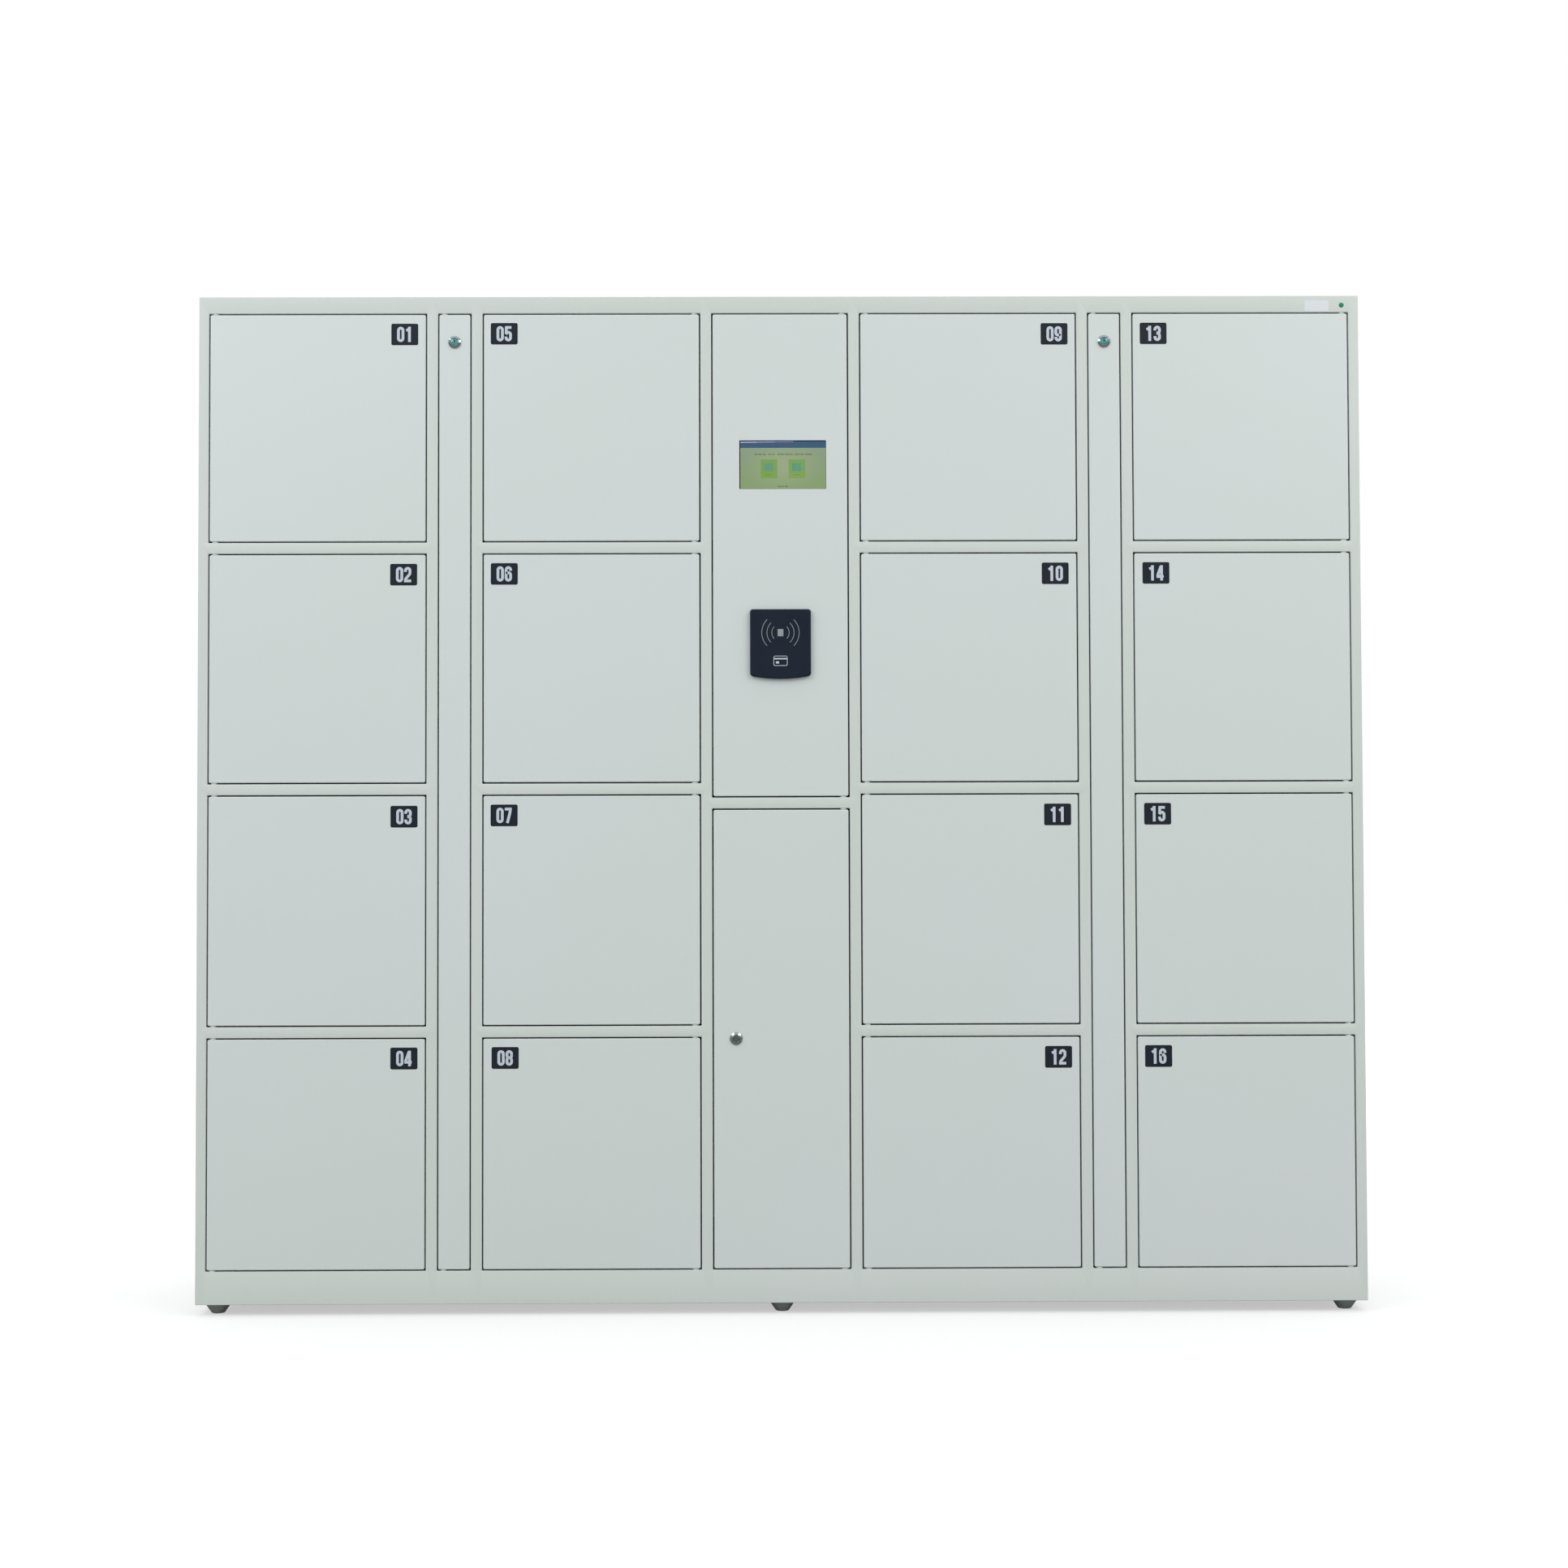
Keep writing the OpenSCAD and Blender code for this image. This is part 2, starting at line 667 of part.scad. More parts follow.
// Coil with its plunger, in line behind the lever's hub
module latch_solenoids() color([0.2, 0.21, 0.22])
    for (i = [0 : rows * columns - 1]) at_latch(i)
        translate([-latch_out, 0, 0]) rotate([-90, 0, 0]) rotate_extrude($fn = round_fn) polygon([
            [0, plunger_near], [plunger_r, plunger_near], [plunger_r, coil_near], [coil_r, coil_near],
            [coil_r, coil_near + coil_l], [0, coil_near + coil_l]]);

// ---- Electrical parts ----

module controller_board() color([0.1, 0.35, 0.22]) {
    face = panel_back - standoff_l - board_t;
    block([-board_w / 2, face, board_z - board_h / 2],
        [board_w / 2, face + board_t, board_z + board_h / 2]);
    for (x = [-1, 1], z = [-1, 1])
        translate([x * (board_w / 2 - standoff_inset), face + board_t - weld_film,
            board_z + z * (board_h / 2 - standoff_inset)]) rotate([-90, 0, 0])
            cylinder(h = standoff_l + weld_film, r = standoff_r, $fn = round_fn);
    for (k = [-3 : 2])
        block([k * 26 + 2, face - 10, board_z - board_h / 2 + 6],
            [k * 26 + 24, face + weld_film, board_z - board_h / 2 + 18]);
    block([-30, face - 6, board_z - 20], [30, face + weld_film, board_z + 30]);
}

module power_supply() color([0.7, 0.71, 0.72])
    block([-psu[0] / 2, panel_back - psu[1], psu_z], [psu[0] / 2, panel_back, psu_z + psu[2]]);

// Mains inlet: flange outside the back, case inside, socket with three blades
module mains_inlet() color([0.08, 0.08, 0.09])
    difference() {
        union() {
            block([-inlet_flange[0] / 2, back, inlet_z - inlet_flange[1] / 2],
                [inlet_flange[0] / 2, back + inlet_proud, inlet_z + inlet_flange[1] / 2]);
            block([-inlet_case[0] / 2, back + over - inlet_case_d, inlet_z - inlet_case[1] / 2],
                [inlet_case[0] / 2, back + over, inlet_z + inlet_case[1] / 2]);
        }
        difference() {
            block([-socket[0] / 2, back + inlet_proud - socket_d, inlet_z - socket[1] / 2],
                [socket[0] / 2, back + inlet_proud + over, inlet_z + socket[1] / 2]);
            for (at = [[-7, -2], [7, -2], [0, 3]])
                translate([at[0] - blade[0] / 2, back + inlet_proud - socket_d - over,
                    inlet_z + at[1] - blade[1] / 2]) cube([blade[0], blade[2] + over, blade[1]]);
        }
    }

// ---- Parts shown ----

for (i = [0 : rows * columns - 1]) {
    door(i);
    latch(i);
}
cover(0);  // cover_left
cover(1);  // cover_right
cover_lock(0);  // cover_lock_left
cover_lock(1);  // cover_lock_right
cover_cam(0);  // cover_cam_left
cover_cam(1);  // cover_cam_right
control_door();
service_door();
touch_screen();
card_reader();
service_lock();
service_cam();
frame_stiles();
frame_rails();
side_panels();
top_panel();
base_tray();
back_panels();
partitions();
shelves();
door_stops();
hinge_pins();
feet();
latch_cases();
latch_solenoids();
controller_board();
power_supply();
mains_inlet();
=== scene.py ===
# %% [markdown]
# # Finishing a parcel locker
#
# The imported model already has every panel, door, lock and hinge at its real size. This lesson
# gives it the looks of the real cabinet: folded sheet edges, powder coat, number plates, a lit
# screen, chrome locks and the small parts behind the doors. Everything is in metres, and every
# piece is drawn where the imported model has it, so nothing has to be fitted.

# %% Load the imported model
import math

import bmesh
import bpy
import numpy as np
from mathutils.geometry import tessellate_polygon
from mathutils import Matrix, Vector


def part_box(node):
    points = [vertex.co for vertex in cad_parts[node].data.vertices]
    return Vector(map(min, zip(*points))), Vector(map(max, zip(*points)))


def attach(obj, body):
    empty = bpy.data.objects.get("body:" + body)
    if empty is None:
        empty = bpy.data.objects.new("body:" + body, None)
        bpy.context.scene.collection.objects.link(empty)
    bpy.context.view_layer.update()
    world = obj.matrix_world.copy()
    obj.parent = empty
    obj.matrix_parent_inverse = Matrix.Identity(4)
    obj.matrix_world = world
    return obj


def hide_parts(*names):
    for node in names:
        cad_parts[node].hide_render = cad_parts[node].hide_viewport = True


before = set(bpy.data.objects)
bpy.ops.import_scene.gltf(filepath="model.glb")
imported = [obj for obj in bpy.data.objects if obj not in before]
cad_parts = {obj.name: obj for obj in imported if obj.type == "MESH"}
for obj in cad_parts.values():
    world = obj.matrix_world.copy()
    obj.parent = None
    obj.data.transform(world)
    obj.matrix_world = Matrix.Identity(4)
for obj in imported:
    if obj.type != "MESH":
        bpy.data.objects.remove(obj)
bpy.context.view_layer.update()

MM = 0.001
CABINET = "cabinet"
SMOOTH_BELOW = 1000 * MM * MM
SHARP_ANGLE = 32

# %% [markdown]
# ## Where things are
#
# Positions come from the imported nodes. A door's box gives its edges, and its lowest Y is the
# cabinet's face. The gap around each door is one number that the whole front shares.

# %% Measure the cabinet
GAP = 2.5 * MM
LEAF_DEPTH = 18 * MM
SHEET = 1.2 * MM
NUMBERS = [f"{i:02d}" for i in range(1, 17)]
ROWS = 4


def leaf_edges(node):
    """Left, right, bottom and top edge of a door or cover, from its node's box."""
    low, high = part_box(node)
    return low.x, high.x, low.z, high.z


def hinged_on_left(leaf):
    """Doors in columns 1 and 3 and the covers are hinged on the left, the others on the right."""
    if leaf.startswith("door_"):
        return NUMBERS.index(leaf[-2:]) // ROWS % 2 == 0
    return leaf.startswith("cover")


LEAVES = {f"door_{n}": leaf_edges(f"door_{n}") for n in NUMBERS}
for leaf in ("cover_left", "cover_right", "control_door", "service_door"):
    LEAVES[leaf] = leaf_edges(leaf)
FACE_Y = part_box("door_01")[0].y
FRAME_LOW, FRAME_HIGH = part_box("frame_rails")
FRAME_BACK = FRAME_HIGH.y
BODY_HALF = FRAME_HIGH.x
BODY_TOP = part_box("top_panel")[1].z
BODY_BOTTOM = FRAME_LOW.z
print("leaves:", len(LEAVES), "face at", round(FACE_Y, 4), "top at", round(BODY_TOP, 4))

# %% [markdown]
# ## Turning arrays into pieces
#
# A part is a pair: an array of points and a list of faces that index it. Parts are worked out
# as whole arrays, gathered into one mesh, and put in at the origin, so the place of a piece is
# in its points. Each part can have its own material index.


# %% Gather parts and put them in
def gather(parts):
    """Several (points, faces, material index) parts as one: points stacked, faces shifted."""
    points, faces, marks, start = [], [], [], 0
    for part in parts:
        own_points, own_faces = part[0], part[1]
        mark = part[2] if len(part) > 2 else 0
        points.append(own_points)
        faces += [[start + k for k in face] for face in own_faces]
        marks += [mark] * len(own_faces)
        start += len(own_points)
    return np.concatenate(points), faces, marks


def add_piece(name, parts, materials, body, stands_for=(), sharp=SHARP_ANGLE):
    """Puts parts in as one mesh object that rides on a body and takes the given materials."""
    points, faces, marks = gather(parts)
    mesh = bpy.data.meshes.new(name)
    mesh.from_pydata(points.tolist(), [], faces)
    for material in materials:
        mesh.materials.append(material)
    mesh.polygons.foreach_set("material_index", marks)
    tidy = bmesh.new()
    tidy.from_mesh(mesh)
    bmesh.ops.remove_doubles(tidy, verts=tidy.verts, dist=1e-7)
    bmesh.ops.recalc_face_normals(tidy, faces=tidy.faces)
    tidy.to_mesh(mesh)
    tidy.free()
    return finish_piece(name, mesh, body, stands_for, sharp)


def finish_piece(name, mesh, body, stands_for=(), sharp=SHARP_ANGLE):
    """Small faces are smooth up to an angle, large ones flat; then the calls every piece needs."""
    areas = np.empty(len(mesh.polygons))
    mesh.polygons.foreach_get("area", areas)
    mesh.polygons.foreach_set("use_smooth", areas < SMOOTH_BELOW)
    mesh.set_sharp_from_angle(angle=math.radians(sharp))
    piece = bpy.data.objects.new(name, mesh)
    bpy.context.scene.collection.objects.link(piece)
    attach(piece, body)
    if stands_for:
        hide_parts(*stands_for)
    return piece


print("faces under", SMOOTH_BELOW / MM / MM, "mm2 are smooth, up to", SHARP_ANGLE, "degrees")

# %% [markdown]
# ## Shapes
#
# Nearly everything on a sheet-metal cabinet is one of three shapes: a loop carried through depth
# (a door, a plate, a block), a profile turned round an axis (a lock, a foot, a screw) and a flat
# ribbon along a path (a printed digit).


# %% Loops carried through depth
def rounded_loop(edges, radius, inset=0.0, corner_steps=5):
    """Loop of a rectangle with round corners: four quarter circles, moved in by inset."""
    x0, x1, z0, z1 = edges
    r = max(radius - inset, 0.02 * MM)
    angle = np.linspace(0, math.pi / 2, corner_steps)
    turns = np.arange(4)[:, None] * math.pi / 2 + angle
    centre_x = np.array([x1 - inset - r, x0 + inset + r, x0 + inset + r, x1 - inset - r])
    centre_z = np.array([z1 - inset - r, z1 - inset - r, z0 + inset + r, z0 + inset + r])
    x = centre_x[:, None] + r * np.cos(turns)
    z = centre_z[:, None] + r * np.sin(turns)
    return np.stack([x.ravel(), z.ravel()], 1)


def loft(rings, cap_start=True, cap_end=True):
    """Joins rings of equally many points, rings[k][j], by quads, and closes both ends."""
    rings = np.asarray(rings, float)
    count, around = rings.shape[:2]
    k, j = np.meshgrid(np.arange(count - 1), np.arange(around), indexing="ij")
    here, beside = k * around + j, k * around + (j + 1) % around
    quads = np.stack([here, beside, beside + around, here + around], -1).reshape(-1, 4)
    faces = quads.tolist()
    if cap_start:
        faces.append(list(range(around)))
    if cap_end:
        faces.append([(count - 1) * around + j for j in range(around)])
    return rings.reshape(-1, 3), faces


def upright(loop, y):
    """A flat loop of (x, z) pairs as points (x, y, z), all at one depth y."""
    return np.stack([loop[:, 0], np.full(len(loop), y), loop[:, 1]], 1)


def carried(edges, radius, profile, face_y, corner_steps=5):
    """Rounded rectangle carried along a profile of (inset, depth behind face_y) pairs."""
    return [upright(rounded_loop(edges, radius, inset, corner_steps), face_y + depth)
            for inset, depth in profile]


def soft_profile(depth, edge, steps=3):
    """Profile of a plate with rounded rims: a flat margin, a quarter circle, the side, and back."""
    t = np.linspace(0, math.pi / 2, steps + 1)
    front = np.stack([edge * (1 - np.sin(t)), edge * (1 - np.cos(t))], 1)
    back = np.stack([front[::-1, 0], depth - front[::-1, 1]], 1)
    margin = np.array([[edge * 1.2, 0.0]])
    return np.concatenate([margin, front, back, margin + [[0.0, depth]]])


def block(low, high, edge=0.4 * MM):
    """A box with rounded rims, as a loop carried through its depth."""
    edges = (low[0], high[0], low[2], high[2])
    profile = soft_profile(high[1] - low[1], edge, 2)
    return loft(carried(edges, edge * 1.05, profile, low[1], 2))


print("a block has", len(block((0, 0, 0), (1, 1, 1))[1]), "faces")


# %% Profiles turned round an axis
def revolve(profile, centre, axis="y", count=48):
    """Turns (radius, height) pairs round an axis, Y or Z, through centre; heights run along it."""
    profile = np.asarray(profile, float)
    turn = np.arange(count) * 2 * math.pi / count
    r, h = profile[:, :1], np.repeat(profile[:, 1:], count, 1)
    a, b = r * np.cos(turn), r * np.sin(turn)
    order = {"y": (b, h, a), "z": (a, b, h)}[axis]
    rings = np.stack(order, -1) + np.asarray(centre, float)
    return loft(rings, False, False)


print("a turned rim of two points has", len(revolve([(1, 0), (1, 1)], (0, 0, 0))[1]), "faces")


# %% Strokes along a path
def ribbon(path, width, y_front, y_back):
    """A flat stroke: each point of a path in X and Z goes half a width to both sides, and deep."""
    path = np.asarray(path, float)
    along = np.gradient(path, axis=0)
    along /= np.linalg.norm(along, axis=1)[:, None]
    across = np.stack([-along[:, 1], along[:, 0]], 1) * width / 2
    left, right = path + across, path - across
    corners = [(left, y_front), (right, y_front), (right, y_back), (left, y_back)]
    return loft(np.stack([upright(side, y) for side, y in corners], 1))


def arc(centre, radius, start, end, count):
    """Points of a circle's arc in X and Z, from start to end in degrees."""
    turn = np.radians(np.linspace(start, end, count))
    return np.asarray(centre) + radius * np.stack([np.cos(turn), np.sin(turn)], 1)


print("shape helpers ready")

# %% [markdown]
# ## Camera
#
# The cabinet is seen almost square from the front, from about 4.4 m away and a little under half
# its height, with the camera tilted up slightly. A 56 mm lens on a 36 mm wide sensor frames it.

# %% Place the camera
CAMERA_X = -0.0238
CAMERA_Z = 0.808
CAMERA_DISTANCE = 4.355
CAMERA_TILT = 1.773
CAMERA_TURN = 0.381
CAMERA_ROLL = 0.172
LENS = 55.9
SENSOR = 36
camera = bpy.data.objects.new("camera", bpy.data.cameras.new("camera"))
bpy.context.scene.collection.objects.link(camera)
camera.location = (CAMERA_X, FACE_Y - CAMERA_DISTANCE, CAMERA_Z)
camera.rotation_euler = [math.radians(a) for a in (90 + CAMERA_TILT, CAMERA_ROLL, -CAMERA_TURN)]
camera.data.sensor_width = SENSOR
camera.data.lens = LENS
camera.data.clip_end = 200
bpy.context.scene.camera = camera
print("camera at", [round(v, 3) for v in camera.location])

# %% [markdown]
# ## Light and floor
#
# Even, soft light: two large softboxes high in front, to the left and right, two weak lamps nearer
# the top, and one softbox behind, in a pale room. The chrome and the dark plastics mirror a room
# that is darker than the background that the camera sees, and darkest below.

# %% Light the cabinet
bpy.context.scene.view_settings.view_transform = "Standard"


def softbox(name, place, aim, width, height, power, tint):
    """A rectangular light at place, turned so that it faces aim."""
    data = bpy.data.lights.new(name, "AREA")
    data.shape, data.size, data.size_y = "RECTANGLE", width, height
    data.energy, data.color = power, tint
    light = bpy.data.objects.new(name, data)
    bpy.context.scene.collection.objects.link(light)
    light.location = place
    direction = np.array(aim, float) - np.array(place, float)
    flat = math.hypot(direction[0], direction[1])
    light.rotation_euler = (math.atan2(flat, -direction[2]), 0, math.atan2(-direction[0], direction[1]))


WHITE = (1.0, 1.0, 1.0)
COOL, WARM = (0.985, 1.0, 1.015), (1.0, 0.985, 0.955)
softbox("softbox_left", (-2.7, -3.3, 3.3), (-0.6, -0.2, 1.2), 2.2, 1.4, 27.3, COOL)
softbox("softbox_right", (2.7, -3.3, 3.3), (0.6, -0.2, 1.2), 2.2, 1.4, 27.3, WARM)
softbox("lamp_left", (-1.8, -1.5, 2.8), (-0.8, -0.2, 1.3), 1.0, 0.5, 3.8, WHITE)
softbox("lamp_right", (1.8, -1.5, 2.8), (0.8, -0.2, 1.3), 1.0, 0.5, 3.6, WHITE)
softbox("softbox_back", (0.4, 4.2, 3.4), (0.0, 0.2, 0.9), 3.5, 1.6, 30, WHITE)

room = bpy.data.worlds.new("pale_room")
bpy.context.scene.world = room
room.use_nodes = True
room_nodes, room_links = room.node_tree.nodes, room.node_tree.links
room_nodes.clear()


def room_light(tint, strength):
    """One even background of the room, given back as its node."""
    background = room_nodes.new("ShaderNodeBackground")
    background.inputs["Color"].default_value = (*tint, 1)
    background.inputs["Strength"].default_value = strength
    return background


def room_choice(ray, otherwise, when):
    """Mixes two shader nodes by the kind of ray, given back as the mixing node."""
    mix = room_nodes.new("ShaderNodeMixShader")
    room_links.new(room_rays.outputs[ray], mix.inputs["Fac"])
    room_links.new(otherwise.outputs[0], mix.inputs[1])
    room_links.new(when.outputs[0], mix.inputs[2])
    return mix


room_rays = room_nodes.new("ShaderNodeLightPath")
felt = room_light((0.965, 1.0, 0.995), 0.98)
seen = room_light(WHITE, 1.0)
mirrored = room_light(WHITE, 1.0)
direction = room_nodes.new("ShaderNodeTexCoord")
height = room_nodes.new("ShaderNodeSeparateXYZ")
ramp = room_nodes.new("ShaderNodeValToRGB")
room_links.new(direction.outputs["Generated"], height.inputs[0])
room_links.new(height.outputs["Z"], ramp.inputs["Fac"])
room_links.new(ramp.outputs["Color"], mirrored.inputs["Color"])
ROOM_STOPS = ((0.0, (0.16, 0.2, 0.2)), (0.12, (0.26, 0.33, 0.33)), (0.35, (0.38, 0.46, 0.46)),
              (0.7, (0.5, 0.56, 0.56)), (1.0, (0.7, 0.74, 0.74)))
stops = ramp.color_ramp.elements
for place, tint in ROOM_STOPS:
    stop = {0.0: stops[0], 1.0: stops[-1]}.get(place) or stops.new(place)
    stop.position, stop.color = place, (*tint, 1)
room_out = room_nodes.new("ShaderNodeOutputWorld")
chosen = room_choice("Is Camera Ray", room_choice("Is Glossy Ray", felt, mirrored), seen)
room_links.new(chosen.outputs[0], room_out.inputs["Surface"])

# %% [markdown]
# ## Shared effects
#
# Four things happen to more than one material, so each is a node group that is built once:
# the fine dimpled skin of powder coat, a slow drift between two tints, smudges left by hands,
# and fine dust on faces that look up. Each group only puts out colours, masks and heights.


# %% Make node groups
def effect(name, inputs, outputs):
    """An empty shader node group with named inputs (name, kind, value) and outputs (name, kind)."""
    group = bpy.data.node_groups.new(name, "ShaderNodeTree")
    for label, kind, value in inputs:
        socket = group.interface.new_socket(label, in_out="INPUT", socket_type=kind)
        if value is not None:
            socket.default_value = value
    for label, kind in outputs:
        group.interface.new_socket(label, in_out="OUTPUT", socket_type=kind)
    return group, group.nodes.new("NodeGroupInput"), group.nodes.new("NodeGroupOutput")


def add_node(tree, kind, links=(), **settings):
    """Adds a node, sets its options and input values by name, and links inputs to sockets."""
    node = tree.nodes.new(kind)
    for label, value in settings.items():
        setattr(node, label, value)
    for label, value in links:
        if isinstance(value, bpy.types.NodeSocket):
            tree.links.new(value, node.inputs[label])
        else:
            node.inputs[label].default_value = value
    return node


def maths(tree, operation, first, second):
    """One Math node, given back as its output socket."""
    return add_node(tree, "ShaderNodeMath", [(0, first), (1, second)], operation=operation).outputs[0]


def vector_maths(tree, operation, first, second):
    """One Vector Math node, given back as its vector socket."""
    links = [(0, first), (1, second)]
    return add_node(tree, "ShaderNodeVectorMath", links, operation=operation).outputs["Vector"]


def vector_length(tree, vector):
    """The length of a vector, as a value socket."""
    return add_node(tree, "ShaderNodeVectorMath", [(0, vector)], operation="LENGTH").outputs["Value"]


def noise(tree, vector, scale, detail=2.0, roughness=0.5):
    """One Noise Texture, given back as its value socket."""
    links = [("Vector", vector), ("Scale", scale), ("Detail", detail), ("Roughness", roughness)]
    return add_node(tree, "ShaderNodeTexNoise", links).outputs[0]


def between(tree, value, low, high):
    """Stretches a value so that low becomes 0 and high becomes 1, smoothly."""
    links = [("Value", value), ("From Min", low), ("From Max", high)]
    node = add_node(tree, "ShaderNodeMapRange", links, interpolation_type="SMOOTHSTEP")
    return node.outputs[0]


def mixed(tree, amount, first, second):
    """Mixes two colours, given back as a colour socket. Inputs 6 and 7 are the node's colours."""
    links = [(0, amount), (6, first), (7, second)]
    return add_node(tree, "ShaderNodeMix", links, data_type="RGBA").outputs[2]


def make_skin():
    """Dimples of sprayed powder: broad waves plus finer ones, both from noise."""
    group, start, end = effect(
        "coat_skin",
        [("Vector", "NodeSocketVector", None), ("Size", "NodeSocketFloat", 420.0)],
        [("Height", "NodeSocketFloat")])
    size = start.outputs["Size"]
    broad = noise(group, start.outputs["Vector"], size, 1.0)
    fine = noise(group, start.outputs["Vector"], maths(group, "MULTIPLY", size, 3.1), 2.0)
    height = maths(group, "ADD", broad, maths(group, "MULTIPLY", fine, 0.35))
    group.links.new(height, end.inputs["Height"])
    return group


def make_drift():
    """Two tints mixed by slow noise, as sheets from different sprays differ a little."""
    group, start, end = effect(
        "tint_drift",
        [("Vector", "NodeSocketVector", None), ("Size", "NodeSocketFloat", 2.0),
         ("First", "NodeSocketColor", (1, 1, 1, 1)), ("Second", "NodeSocketColor", (1, 1, 1, 1))],
        [("Color", "NodeSocketColor")])
    slow = noise(group, start.outputs["Vector"], start.outputs["Size"], 3.0, 0.55)
    amount = between(group, slow, 0.32, 0.68)
    blend = mixed(group, amount, start.outputs["First"], start.outputs["Second"])
    group.links.new(blend, end.inputs["Color"])
    return group


def make_smudge():
    """Patches where hands and cloths touched: broad noise times streaky noise, thresholded."""
    group, start, end = effect(
        "smudges",
        [("Vector", "NodeSocketVector", None), ("Size", "NodeSocketFloat", 6.0),
         ("Cover", "NodeSocketFloat", 0.5)],
        [("Mask", "NodeSocketFloat")])
    size = start.outputs["Size"]
    patch = noise(group, start.outputs["Vector"], size, 4.0, 0.6)
    streak = noise(group, start.outputs["Vector"], maths(group, "MULTIPLY", size, 7.0), 3.0, 0.7)
    both = maths(group, "MULTIPLY", patch, maths(group, "ADD", streak, 0.5))
    low = maths(group, "SUBTRACT", 0.86, maths(group, "MULTIPLY", start.outputs["Cover"], 0.5))
    mask = between(group, both, low, maths(group, "ADD", low, 0.3))
    group.links.new(mask, end.inputs["Mask"])
    return group


def make_dust():
    """Dust settles where the surface looks up: the normal's Z, broken up by noise."""
    group, start, end = effect(
        "dust",
        [("Vector", "NodeSocketVector", None), ("Amount", "NodeSocketFloat", 0.5)],
        [("Mask", "NodeSocketFloat")])
    normal = add_node(group, "ShaderNodeNewGeometry").outputs["Normal"]
    up = add_node(group, "ShaderNodeSeparateXYZ", [(0, normal)]).outputs["Z"]
    facing = between(group, up, 0.55, 1.0)
    grains = between(group, noise(group, start.outputs["Vector"], 90.0, 5.0, 0.7), 0.35, 0.75)
    mask = maths(group, "MULTIPLY", maths(group, "MULTIPLY", facing, grains), start.outputs["Amount"])
    group.links.new(mask, end.inputs["Mask"])
    return group


SKIN, DRIFT, SMUDGE, DUST = make_skin(), make_drift(), make_smudge(), make_dust()
print("effects:", sorted(g.name for g in bpy.data.node_groups))


# %% Start and end a material
def start_material(name):
    """A material with a Principled shader, and the Object coordinates that its patterns use."""
    material = bpy.data.materials.new(name)
    material.use_nodes = True
    tree = material.node_tree
    shader = tree.nodes["Principled BSDF"]
    place = add_node(tree, "ShaderNodeTexCoord").outputs["Object"]
    return material, tree, shader, place


def colour(r, g, b):
    """A colour with full cover, as sockets take it."""
    return (r, g, b, 1.0)


def use_effect(tree, group, place, **values):
    """Places a node group, fed with the coordinates and its own values."""
    node = add_node(tree, "ShaderNodeGroup", node_tree=group)
    tree.links.new(place, node.inputs["Vector"])
    for label, value in values.items():
        node.inputs[label].default_value = value
    return node.outputs[0]


def drifting(tree, place, size, first, second):
    """A tint that drifts between two colours over patches of the given size."""
    return use_effect(tree, DRIFT, place, Size=size, First=colour(*first), Second=colour(*second))


def touched(tree, place, size, cover, smear, rough):
    """Roughness, raised from rough by smear where hands left smudges, and the smudges' mask."""
    hands = use_effect(tree, SMUDGE, place, Size=size, Cover=cover)
    return maths(tree, "ADD", maths(tree, "MULTIPLY", hands, smear), rough), hands


def dimple(tree, shader, place, size, depth):
    """Feeds the skin's dimples, depth in millimetres, through a Bump node into the normal."""
    height = use_effect(tree, SKIN, place, Size=size)
    links = [("Height", height), ("Distance", depth * MM), ("Strength", 1.0)]
    bump = add_node(tree, "ShaderNodeBump", links)
    tree.links.new(bump.outputs[0], shader.inputs["Normal"])


print("a material starts from a Principled shader and Object coordinates")

# %% [markdown]
# ## Powder coat
#
# The cabinet is sprayed with light grey, slightly green polyester powder and baked. It is satin,
# with a skin of dimples about 2 mm across and a few hundredths of a millimetre deep. The tint
# drifts a little over the sheets, and the parts inside are a little darker and rougher.


# %% Make the coats
def make_coat(name, first, second, rough, dust, smear):
    """Powder coat: drifting tint, greyed by hands, dulled by dust, with a dimpled skin."""
    material, tree, shader, place = start_material(name)
    tint = drifting(tree, place, 1.6, first, second)
    settled = use_effect(tree, DUST, place, Amount=dust)
    gloss, hands = touched(tree, place, 5.0, smear, 0.12, rough)
    greyed = mixed(tree, maths(tree, "MULTIPLY", hands, 0.1), tint, colour(0.5, 0.53, 0.52))
    dusty = mixed(tree, settled, greyed, colour(0.52, 0.5, 0.46))
    tree.links.new(dusty, shader.inputs["Base Color"])
    tree.links.new(maths(tree, "ADD", gloss, maths(tree, "MULTIPLY", settled, 0.3)),
                   shader.inputs["Roughness"])
    shader.inputs["Specular IOR Level"].default_value = 0.4
    dimple(tree, shader, place, 420.0, 0.035)
    return material


COAT = make_coat("powder_coat", (0.645, 0.688, 0.66), (0.656, 0.692, 0.675), 0.44, 0.35, 0.45)
LEAF_COAT = make_coat("leaf_coat", (0.67, 0.716, 0.704), (0.682, 0.72, 0.722), 0.42, 0.35, 0.4)
INNER_COAT = make_coat("inner_coat", (0.6, 0.64, 0.62), (0.62, 0.65, 0.635), 0.55, 0.5, 0.35)
print("coats:", [m.name for m in (COAT, LEAF_COAT, INNER_COAT)])


# %% [markdown]
# ## Metals
#
# Zinc plate is a thin bright layer with cloudy patches and a faint yellow-blue sheen. The locks
# are polished chrome, which is almost only reflection, so its own detail is fine wiping marks.


